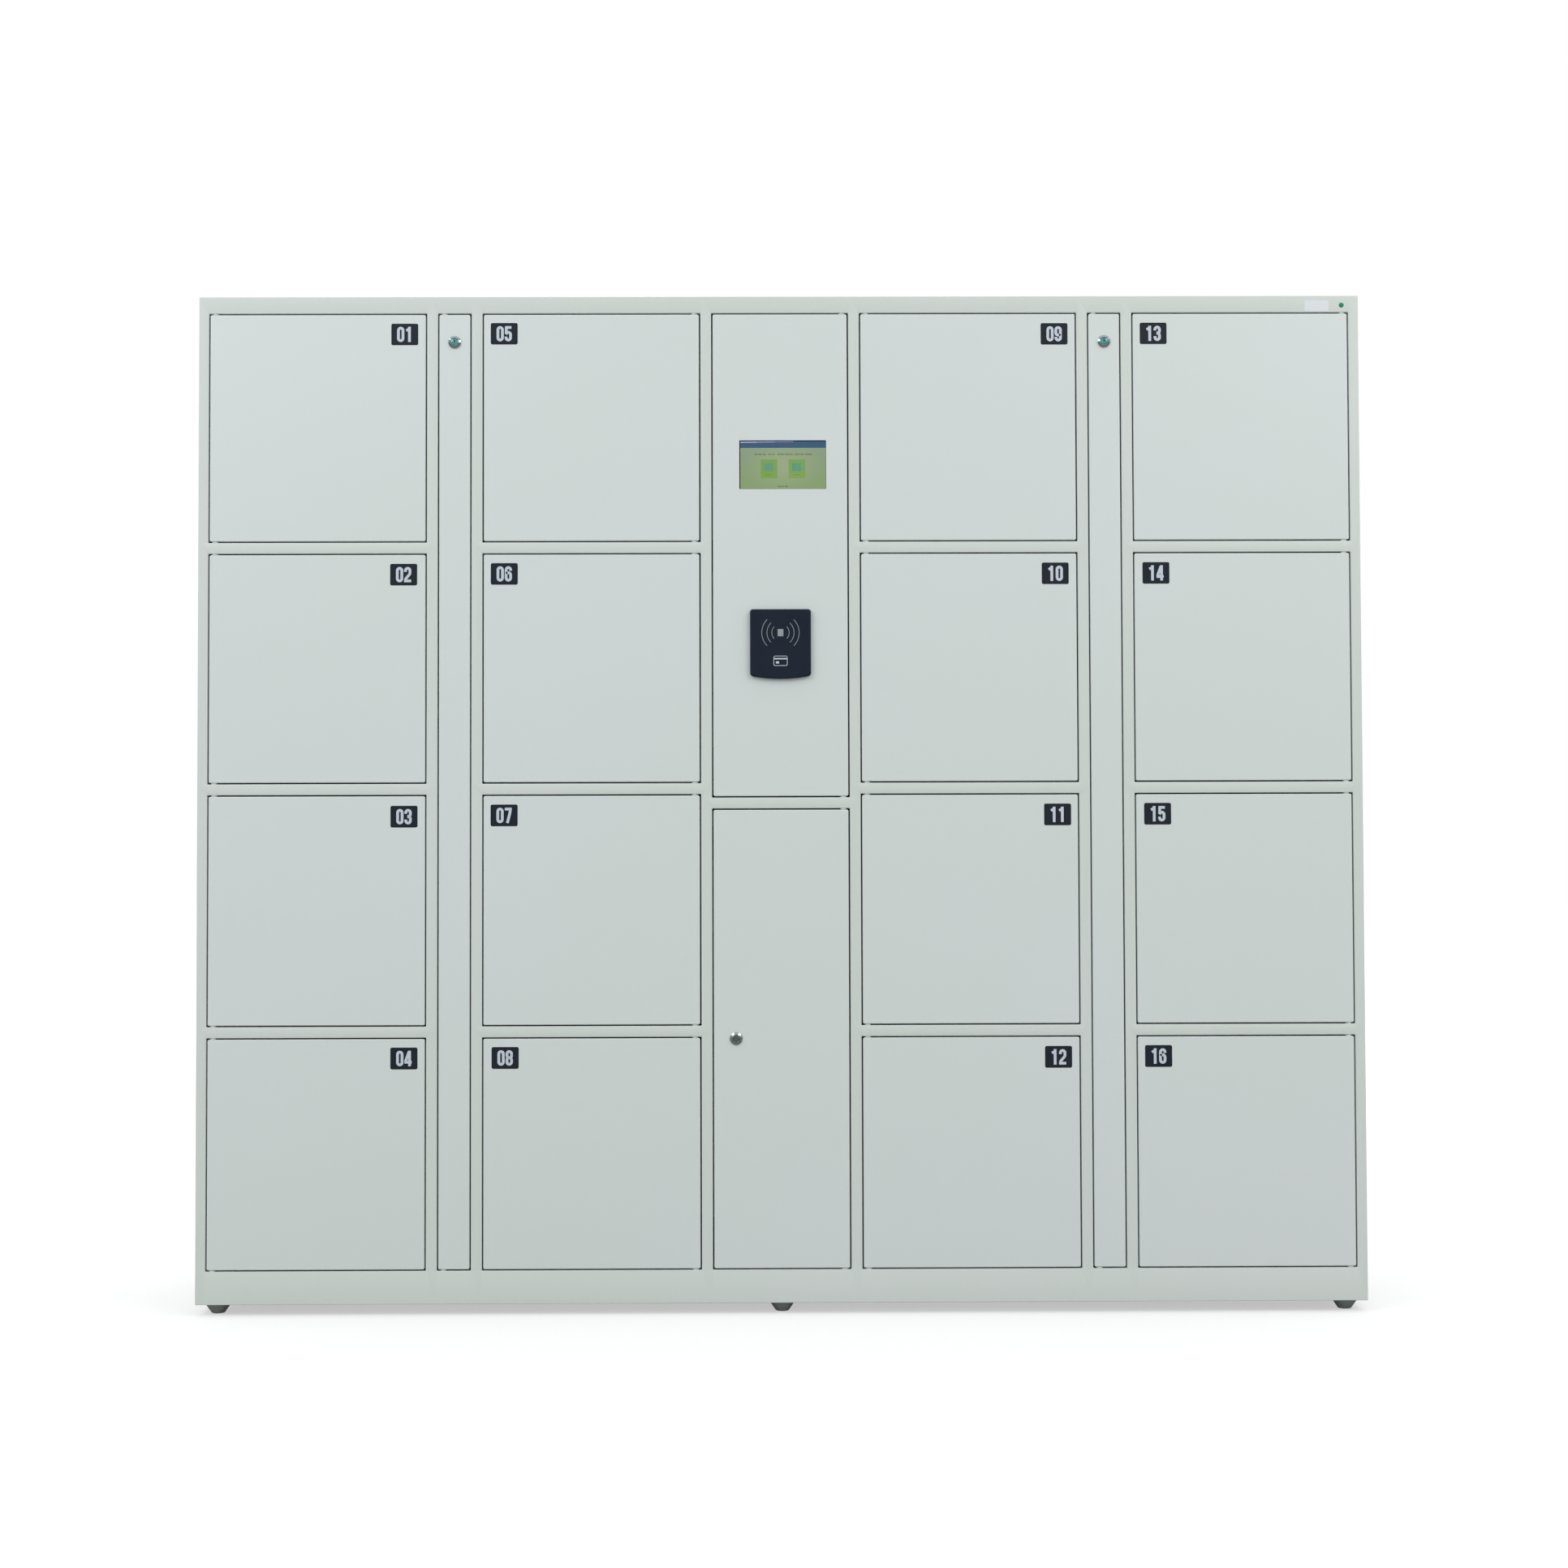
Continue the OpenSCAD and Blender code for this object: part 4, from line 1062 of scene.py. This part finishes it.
for top, words in ((23.0, WORDS_ABOVE), (81.0, WORDS_BELOW)):
    lit += [lit_plate("stroke", x0, x1, top, top + 2.4, 2) for x0, x1 in words]
# Painted reflection: three tapering glowing strokes along the title bar's top edge stand for the window's
# edge mirrored in the glass.
REFLECTION_STREAK = ((0.9, 2.3), (30, 2.0), (62, 1.6), (96, 1.2))
reflection_streak_path = np.array(REFLECTION_STREAK) * MM * [1, -1] + [PICTURE[0], PICTURE[3]]
for k, width in enumerate((1.7, 1.2, 0.7)):
    stroke = ribbon(reflection_streak_path[k:k + 2], width * MM, glass_y - (0.06 + 0.002 * k) * MM, glass_y)
    lit.append((*stroke, MARKS["streak"]))
add_piece("touch_screen_unit", [(*case, MARKS["case"]), (*glass, MARKS["glass"])] + lit,
          list(SCREEN.values()), "control_door", ("touch_screen",))
print("picture:", round(picture_w, 1), "x", round(picture_h, 1), "mm,", len(lit), "lit plates")

# %% [markdown]
# ## Card reader
#
# A moulded case with round shoulders and a lower edge that bulges down. Its outline is a function
# of the inset, so the rim can be rounded by carrying the outline along a quarter circle. The
# printed mark is a small square with three arcs on each side, and a plain card shape below.

# %% Build the card reader
READER_LOW, READER_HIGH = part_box("card_reader")
READER_TOP, READER_HALF = READER_HIGH.z, READER_HIGH.x
READER_BULGE = 5.5 * MM
READER_PROUD = 9 * MM
READER_RIM = 2.5 * MM
PRINT_Y = FACE_Y - READER_PROUD
MARK_Z = READER_TOP - 42.5 * MM
MARK_ARCS = ((15.2, 10.2), (23.8, 16.6), (32.8, 22.6))
CARD_Z = READER_TOP - 93 * MM
CARD_HALF = (12 * MM, 8.5 * MM)
PRINT_LINE = 1.0 * MM


def reader_loop(inset, corner=5 * MM, steps=7):
    """Square shoulders with quarter-circle corners; the lower edge follows a parabola."""
    w, top = READER_HALF - inset, READER_TOP - inset
    low = READER_LOW.z + READER_BULGE + inset
    r = max(corner - inset, 0.5 * MM)
    corners = []
    for quarter, (side, z) in enumerate(((1, top - r), (-1, top - r), (-1, low + r), (1, low + r))):
        turn = np.linspace(0, math.pi / 2, steps) + quarter * math.pi / 2
        corners.append(np.stack([side * (w - r) + r * np.cos(turn), z + r * np.sin(turn)], 1))
    x = np.linspace(-w + r, w - r, 26)[1:-1]
    belly = np.stack([x, np.full_like(x, low)], 1)
    loop = np.concatenate([*corners[:3], belly, corners[3]])
    near_low = np.clip((low + r - loop[:, 1]) / r, 0, 1)
    loop[:, 1] -= READER_BULGE * (1 - (loop[:, 0] / w) ** 2) * near_low
    return loop


def printed_line(path):
    """A printed line along a path, a tenth of a millimetre proud of the reader."""
    return ribbon(path, PRINT_LINE, PRINT_Y - 0.1 * MM, PRINT_Y + 0.1 * MM)


def printed_block(x0, x1, z0, z1, middle_z, proud):
    """A printed rectangle, in millimetres about the reader's middle and a height."""
    low = (x0 * MM, PRINT_Y - proud * MM, middle_z + z0 * MM)
    return block(low, (x1 * MM, PRINT_Y + 0.1 * MM, middle_z + z1 * MM), 0.05 * MM)


rim = [(READER_RIM * (1 - math.sin(a)), -READER_PROUD + READER_RIM * (1 - math.cos(a)))
       for a in np.linspace(0, math.pi / 2, 6)]
SEAM = np.array([(0, -2.2), (0.6, -2.0), (0.6, -1.4), (0, -1.2), (0, -0.2), (0.3, 0.0)]) * MM
front = [(4 * MM, -READER_PROUD), (2.6 * MM, -READER_PROUD)]
shell = [upright(reader_loop(inset), FACE_Y + depth) for inset, depth in [*front, *rim, *SEAM]]
reader_parts = [(*loft(shell), 0), (*printed_block(-5.1, 5.1, -6.4, 6.4, MARK_Z, 0.12), 2)]
for reach, half_height in MARK_ARCS:
    radius = reach * 1.02
    swing = math.degrees(math.asin(half_height / radius)) * 1.05
    for middle in (0, 180):
        path = arc((0, MARK_Z), radius * MM, middle - swing, middle + swing, 24)
        reader_parts.append((*printed_line(path), 2))
card_edges = (-CARD_HALF[0], CARD_HALF[0], CARD_Z - CARD_HALF[1], CARD_Z + CARD_HALF[1])
card = rounded_loop(card_edges, 2.4 * MM)
reader_parts.append((*printed_line(np.concatenate([card, card[:2]])), 1))
reader_parts.append((*printed_block(-11.3, 11.3, 2.6, 4.9, CARD_Z, 0.11), 1))
reader_parts.append((*printed_block(-8.2, -2.6, -4.8, -1.0, CARD_Z, 0.11), 1))
spigot = np.array([(0, 0), (7.5, 0), (7.5, 13), (6.5, 14), (0, 14)]) * MM
reader_middle = (READER_TOP + READER_LOW.z + READER_BULGE) / 2
reader_parts.append((*revolve(spigot, (0, FACE_Y, reader_middle)), 0))
add_piece("card_reader_unit", reader_parts, [READER, PRINT, READER_PRINT], "control_door",
          ("card_reader",))
print("reader:", round(2 * READER_HALF / MM, 1), "mm wide")

# %% [markdown]
# ## Cam locks
#
# A lock's chrome body has a wide conical flange, which mirrors the softboxes as bright spots, and
# a plug in the middle that turns with the key. The body rides with its cover, and the plug and cam
# ride with the cam's own body. The keyway is a slot cut into the plug; its walls and floor are near
# black, a painted shade for the dark inside of the slot.


# %% Build the locks
LOCK_SHARP = 12
FLANGE = ((6.3, -2.2), (6.35, -3.6), (6.6, -3.95), (7.5, -4.0), (11.15, -2.2), (11.45, -1.6),
          (11.5, 0.0), (9.25, 0.02), (9.25, 22.0), (6.1, 22.0), (6.3, -2.2))
NUT = ((9.3, 1.3), (11.6, 1.3), (12.5, 1.8), (12.5, 5.7), (11.6, 6.2), (9.3, 6.2), (9.3, 1.3))
PLUG = ((3.6, -3.3), (5.2, -3.3), (5.8, -3.1), (6.0, -2.8), (6.0, 22.4), (0, 22.4))
CAM_DISC = ((0, 0), (9, 0), (9.25, 0.3), (9.25, 1.7), (9, 2), (0, 2))
CAM_END = ((0, 0), (3.6, 0), (4, 0.4), (4, 1.6), (3.6, 2), (0, 2))
CAM_SCREW = ((0, 0), (4, 0), (4, 2.4), (3.2, 3.6), (1.6, 4), (0, 4))
SLOT_ROUND, SLOT_FACE, SLOT_EDGE, SLOT_FLOOR = 3.6, -3.3, -3.2, 2.0
SLOT_UPRIGHT, SLOT_LEVEL = (1.1, 3.2), (3.0, 1.0)
CAM_DEPTH, CAM_THICK, CAM_WIDTH = 22.5 * MM, 2 * MM, 8 * MM


def turned(profile, x, y, z, count=48):
    """A profile in millimetres turned round an axis along Y."""
    return revolve(np.array(profile) * MM, (x, y, z), count=count)


def plug_parts(x, z, cam_node, slot_half):
    """Flat plug with a keyway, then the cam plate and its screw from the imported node's length."""
    turn = np.arange(48) * 2 * math.pi / 48
    circle = SLOT_ROUND * np.stack([np.sin(turn), np.cos(turn)], 1)
    slot = np.clip(circle, np.negative(slot_half), slot_half)
    rings = ((circle, SLOT_FACE), (slot, SLOT_FACE), (slot, SLOT_EDGE), (slot, SLOT_FLOOR))
    rings = [upright(loop * MM + [x, z], FACE_Y + depth * MM) for loop, depth in rings]
    low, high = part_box(cam_node)
    reach_x, reach_z = np.array([low.x - x, high.x - x]), np.array([low.z - z, high.z - z])
    long_x, long_z = reach_x[np.abs(reach_x).argmax()], reach_z[np.abs(reach_z).argmax()]
    tip = np.array([long_x, 0.0]) if abs(long_x) > abs(long_z) else np.array([0.0, long_z])
    tip = tip * (1 - CAM_WIDTH / 2 / np.linalg.norm(tip))
    cam_y = FACE_Y + CAM_DEPTH
    path = np.array([x, z]) + np.linspace(0, 1, 4)[:, None] * tip
    cam_parts = [ribbon(path, CAM_WIDTH, cam_y, cam_y + CAM_THICK),
                 turned(CAM_END, x + tip[0], cam_y, z + tip[1], 24), turned(CAM_DISC, x, cam_y, z),
                 turned(CAM_SCREW, x, cam_y + CAM_THICK, z, 24)]
    # The keyway's walls and floor take material 1, near black: painted shade inside the slot.
    return [turned(PLUG, x, FACE_Y, z), loft(rings[:2], False, False),
            (*loft(rings[1:], False, True), 1)] + [(*part, 2) for part in cam_parts]


LOCKS = (("cover_lock_left", "cover_left", "cover_cam_left", PLUG_TEAL, SLOT_UPRIGHT),
         ("cover_lock_right", "cover_right", "cover_cam_right", PLUG_TEAL, SLOT_UPRIGHT),
         ("service_lock", "service_door", "service_cam", PLUG_GREY, SLOT_LEVEL))
for lock, carrier, cam, finish, slot_half in LOCKS:
    low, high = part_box(lock)
    x, z = (low.x + high.x) / 2, (low.z + high.z) / 2
    body = [turned(FLANGE, x, FACE_Y, z), turned(NUT, x, FACE_Y, z, 6)]
    add_piece(f"{lock}_chrome", body, [CHROME], carrier, (lock,), LOCK_SHARP)
    add_piece(f"{cam}_plug", plug_parts(x, z, cam, slot_half), [finish, KEYWAY_SHADE, ZINC], cam,
              (cam,), LOCK_SHARP)
    print(lock, "at", round(x / MM), round(z / MM))

# %% [markdown]
# ## Hinge pins, stops and feet
#
# Every leaf turns on two corner pins of zinc-plated steel, with a pale nylon washer in the gap.
# The stops are strips with soft pads that the leaves close against. The feet are grey moulded
# cups on threaded studs.

# %% Build pins, stops and feet
PIN_FROM_SIDE = 9 * MM
PIN_DEPTH = 6 * MM
PIN = ((0, -5.6), (4.2, -5.6), (4.5, -5.3), (4.5, -4.2), (3.0, -4.0), (3.0, 6.0), (2.4, 6.8), (0, 6.8))
WASHER = ((3.0, -2.45), (5.2, -2.45), (5.5, -2.2), (5.5, -0.45), (5.2, -0.2), (3.0, -0.2), (3.0, -2.45))
FOOT_RADIUS = 22.5 * MM
CUP = ((0, 0.4), (8, 0.0), (11.2, 0.3), (12.4, 1.4), (17.4, 8.6), (21.6, 14.8), (22.4, 16.2),
       (22.5, 17.4), (22.5, 19.2), (21.9, 19.95), (0, 19.95))
STUD_FROM, STUD_TO, THREAD_STEP = 20.0, 55.0, 0.75


pins = []
for name, (x0, x1, z0, z1) in LEAVES.items():
    x = x0 + PIN_FROM_SIDE if hinged_on_left(name) else x1 - PIN_FROM_SIDE
    for z, up in ((z0, 1), (z1, -1)):
        for mark, profile in enumerate((PIN, WASHER)):
            shape = np.array(profile) * MM * [1, up]
            pins.append((*revolve(shape, (x, FACE_Y + PIN_DEPTH, z), "z", 24), mark))
add_piece("hinge_pin_set", pins, [ZINC, NYLON], CABINET, ("hinge_pins",))

finished_copy("door_stops", RUBBER, CABINET, 0.3 * MM)

FOOT_LOW, FOOT_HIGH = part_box("feet")
thread_z = np.arange(STUD_FROM, STUD_TO, THREAD_STEP)
thread = np.stack([np.where(np.arange(len(thread_z)) % 2, 4.45, 5.0), thread_z], 1)
stud = np.concatenate([[(0, STUD_FROM)], thread, [(0, STUD_TO + 0.6)]])
feet = []
for x in (FOOT_LOW.x + FOOT_RADIUS, 0.0, FOOT_HIGH.x - FOOT_RADIUS):
    for y in (FOOT_LOW.y + FOOT_RADIUS, FOOT_HIGH.y - FOOT_RADIUS):
        feet.append((*revolve(np.array(CUP) * MM, (x, y, 0), "z", 40), 0))
        feet.append((*revolve(stud * MM, (x, y, 0), "z", 20), 1))
add_piece("feet_set", feet, [FOOT, ZINC], CABINET, ("feet",))
print("pins:", len(pins) // 2, "feet:", len(feet) // 2)

# %% [markdown]
# ## Small marks on the top rail
#
# A green vinyl dot and a blank paper label are stuck near the right end of the top rail.

# %% Stick on the dot and the label
DOT = ((0, -0.25), (4.2, -0.25), (4.45, -0.15), (4.5, 0.05), (0, 0.05))
LABEL_EDGES = (BODY_HALF - 96 * MM, BODY_HALF - 53 * MM, BODY_TOP - 27.5 * MM, BODY_TOP - 8.5 * MM)
dot = turned(DOT, BODY_HALF - 30 * MM, FACE_Y, BODY_TOP - 17 * MM)
label = loft(carried(LABEL_EDGES, MM, soft_profile(0.2 * MM, 0.05 * MM, 2), FACE_Y - 0.15 * MM))
add_piece("green_dot", [dot], [GREEN], CABINET)
add_piece("blank_label", [label], [PAPER], CABINET)
print("label:", round((LABEL_EDGES[1] - LABEL_EDGES[0]) / MM), "mm wide")

# %% [markdown]
# ## Latch solenoids
#
# Behind each lever sits a coil on a black bobbin, wound and taped, with a steel plunger that a
# light spring returns. The spring is a round section carried along a helix.


# %% Build the solenoids
COIL_TAPE = make_plastic("coil_tape", (0.45, 0.3, 0.03), (0.5, 0.33, 0.04), 0.35, 0.4, 600, 0.02)
MULLION_HALF = 11 * MM
LATCH_OUT = 14 * MM
BOBBIN = ((0, 98), (8.6, 98), (9, 98.4), (9, 100.2), (6, 100.4), (6, 127.6), (9, 127.8), (9, 129.6),
          (8.6, 130), (0, 130))
WINDING = ((6.2, 100.6), (8.3, 100.6), (8.5, 101), (8.5, 127), (8.3, 127.4), (6.2, 127.4), (6.2, 100.6))
PLUNGER = ((0, 80.2), (2.2, 80.2), (2.5, 80.5), (2.5, 99), (0, 99))
SPRING_FROM, SPRING_LENGTH, SPRING_TURNS, SPRING_RADIUS, WIRE = 84, 13.5, 6, 3.3 * MM, 0.35 * MM


def spring(x, z, sides=5):
    """Wire along a helix about Y: at every point a ring spanned by outward and across."""
    turn = np.linspace(0, 2 * math.pi * SPRING_TURNS, 12 * SPRING_TURNS + 1)
    out = np.stack([np.cos(turn), np.zeros_like(turn), np.sin(turn)], 1)
    rise = FACE_Y + (SPRING_FROM + SPRING_LENGTH * turn / turn[-1]) * MM
    helix = out * SPRING_RADIUS + np.stack([np.full_like(rise, x), rise, np.full_like(rise, z)], 1)
    along = np.gradient(helix, axis=0)
    along /= np.linalg.norm(along, axis=1)[:, None]
    across = np.cross(along, out)
    around = (np.arange(sides) * 2 * math.pi / sides)[:, None]
    return loft(helix[:, None] + WIRE * (out[:, None] * np.cos(around) + across[:, None] * np.sin(around)))


coils = []
for n in NUMBERS:
    low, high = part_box(f"latch_{n}")
    z = (low.z + high.z) / 2
    x0, x1 = LEAVES[f"door_{n}"][:2]
    beyond = GAP / 2 + MULLION_HALF + LATCH_OUT
    x = x1 + beyond if hinged_on_left(f"door_{n}") else x0 - beyond
    for mark, profile in enumerate((BOBBIN, WINDING, PLUNGER)):
        coils.append((*turned(profile, x, FACE_Y, z, 24), mark))
    coils.append((*spring(x, z), 2))
add_piece("latch_solenoid_set", coils, [BLACK, COIL_TAPE, ZINC], CABINET,
          ("latch_solenoids",))
print("solenoids:", len(NUMBERS))

# %% [markdown]
# ## Controller board
#
# A green board on standoffs, with plug-in terminals along its lower edge and a processor, is in the
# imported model. Two rows of relays, four capacitors and rows of small parts are added. The sizes
# and kinds of the small parts come from a seeded draw, their places from a grid.


# %% Build the board
BOARD_GREEN = make_plastic("board_green", (0.008, 0.10, 0.05), (0.012, 0.13, 0.06), 0.35, 0.5, 500, 0.01)
RELAY = make_plastic("relay_blue", (0.01, 0.06, 0.3), (0.015, 0.08, 0.34), 0.4, 0.4, 900, 0.01)
finished_copy("controller_board", BOARD_GREEN, CABINET, 0.2 * MM)
BOARD_LOW, BOARD_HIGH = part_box("controller_board")
BOARD_MIDDLE = (BOARD_LOW.z + BOARD_HIGH.z) / 2
STANDOFF, BOARD_THICK = 12 * MM, 1.6 * MM
BOARD_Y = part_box("back_panels")[0].y - STANDOFF - BOARD_THICK
RELAY_ROWS = (92, 68)
SMALL_ROWS = (-82, -72, 44, 51)
CAPACITOR = ((0, -13), (4.6, -13), (5, -12.6), (5, 0), (0, 0))
CAPACITOR_XS = (-66, -52, 52, 66)


def component(x, z, w, h, tall, mark, edge=0.1):
    """A block on the board's front, in millimetres about x and z from the board's middle."""
    low = ((x - w / 2) * MM, BOARD_Y - tall * MM, BOARD_MIDDLE + (z - h / 2) * MM)
    high = ((x + w / 2) * MM, BOARD_Y + 0.05 * MM, BOARD_MIDDLE + (z + h / 2) * MM)
    return (*block(low, high, edge * MM), mark)


components = [component(20 * k - 70, z, 15, 19, 15, 0, 0.6) for k in range(8) for z in RELAY_ROWS]
for x in np.arange(-76, 79, 9.5):
    for z in SMALL_ROWS:
        w, h, tall = rng.uniform(2.2, 5.5), rng.uniform(1.5, 3.5), rng.uniform(0.6, 2.2)
        components.append(component(x, z, w, h, tall, int(rng.integers(1, 3))))
for k, x in enumerate(CAPACITOR_XS):
    can = turned(CAPACITOR, x * MM, BOARD_Y, BOARD_MIDDLE - 45 * MM, 24)
    components.append((*can, 1 + k % 2))
add_piece("board_components", components, [RELAY, BLACK, ZINC], CABINET)
print("board parts:", len(components))

# %% [markdown]
# ## Power supply and panel screws
#
# The supply's case has rows of vent slots, a terminal strip with screws along its lower edge and
# a blank rating label. Pan-head screws hold the back panels along their seams and outer edges.


# %% Add the supply's details and the screws
SUPPLY_LOW, SUPPLY_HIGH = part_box("power_supply")
SUPPLY_WIDTH = SUPPLY_HIGH.x - SUPPLY_LOW.x
STRIP_Z = SUPPLY_LOW.z + 16 * MM
STRIP_PROUD = 7 * MM
SCREW_HEAD = ((0, -1.2), (2.2, -1.1), (2.9, -0.5), (3.0, 0.0), (3.0, 0.4), (0, 0.4))
PAN_HEAD = ((0, 1.9), (1.6, 1.85), (3.1, 1.4), (3.9, 0.5), (4.0, 0.0), (4.0, -0.2), (0, -0.2))
SEAM_X = 140 * MM
EDGE_X = BODY_HALF - 11 * MM


def on_supply(x0, x1, z, half_height, proud, sunk, edge):
    """A block on the supply's front, proud of it and sunk into it, about a height."""
    low = (x0, SUPPLY_LOW.y - proud, z - half_height)
    return block(low, (x1, SUPPLY_LOW.y + sunk, z + half_height), edge)


details = []
for z in SUPPLY_HIGH.z - (14 + 8 * np.arange(9)) * MM:
    for part in ((0.12, 0.46), (0.54, 0.88)):
        x0, x1 = (SUPPLY_LOW.x + SUPPLY_WIDTH * share for share in part)
        details.append((*on_supply(x0, x1, z, 1.4 * MM, 0.15 * MM, 0.5 * MM, 0.1 * MM), 0))
strip = on_supply(SUPPLY_LOW.x + 8 * MM, SUPPLY_HIGH.x - 8 * MM, STRIP_Z, 8 * MM, STRIP_PROUD,
                  0.5 * MM, 0.8 * MM)
details.append((*strip, 0))
for x in np.linspace(SUPPLY_LOW.x + 17 * MM, SUPPLY_HIGH.x - 17 * MM, 7):
    details.append((*turned(SCREW_HEAD, x, SUPPLY_LOW.y - STRIP_PROUD, STRIP_Z, 16), 1))
rating = on_supply(SUPPLY_LOW.x + 20 * MM, SUPPLY_HIGH.x - 20 * MM, STRIP_Z + 40 * MM, 18 * MM,
                   0.1 * MM, 0.3 * MM, 0.05 * MM)
details.append((*rating, 2))
add_piece("supply_details", details, [BLACK, ZINC, PAPER], CABINET)

BACK_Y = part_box("back_panels")[1].y
screws = [turned(PAN_HEAD, x, BACK_Y, z, 16) for x in (-EDGE_X, -SEAM_X, SEAM_X, EDGE_X)
          for z in np.linspace(BODY_BOTTOM + 45 * MM, BODY_TOP - 45 * MM, 9)]
add_piece("panel_screws", screws, [ZINC], CABINET)
print("vent slots and terminals:", len(details), "panel screws:", len(screws))

# %% [markdown]
# ## Floor and close
#
# The floor is a wide pale sheet. Seen directly it is half lit and half glowing, so the cabinet's
# shadow on it stays light; in mirrors and for other light it is darker.

# %% Lay the floor and finish
FLOOR_HALF = 40.0
FLOOR_FELT = colour(0.38, 0.38, 0.37)
FLOOR_MIRRORED = colour(0.16, 0.17, 0.165)
FLOOR_NEAR = colour(0.5, 0.497, 0.497)
FLOOR_FAR = colour(0.62, 0.615, 0.615)
material, tree, shader, place = start_material("pale_floor")
rays = add_node(tree, "ShaderNodeLightPath").outputs
unseen = mixed(tree, rays["Is Glossy Ray"], FLOOR_FELT, FLOOR_MIRRORED)
seen_tint = drifting(tree, place, 0.6, (0.5, 0.5, 0.5), (0.51, 0.51, 0.51))
tree.links.new(mixed(tree, rays["Is Camera Ray"], unseen, seen_tint), shader.inputs["Base Color"])
glow = mixed(tree, between(tree, vector_length(tree, place), 1.8, 7.0), FLOOR_NEAR, FLOOR_FAR)
glow = mixed(tree, rays["Is Camera Ray"], colour(0, 0, 0), glow)
tree.links.new(glow, shader.inputs["Emission Color"])
for label, value in (("Emission Strength", 1.0), ("Roughness", 0.8), ("Specular IOR Level", 0.1)):
    shader.inputs[label].default_value = value
floor_mesh = bpy.data.meshes.new("floor")
corners = [(x * FLOOR_HALF, y * FLOOR_HALF, 0) for x, y in ((-1, -1), (1, -1), (1, 1), (-1, 1))]
floor_mesh.from_pydata(corners, [], [(0, 1, 2, 3)])
floor_mesh.materials.append(material)
floor = bpy.data.objects.new("floor", floor_mesh)
bpy.context.scene.collection.objects.link(floor)
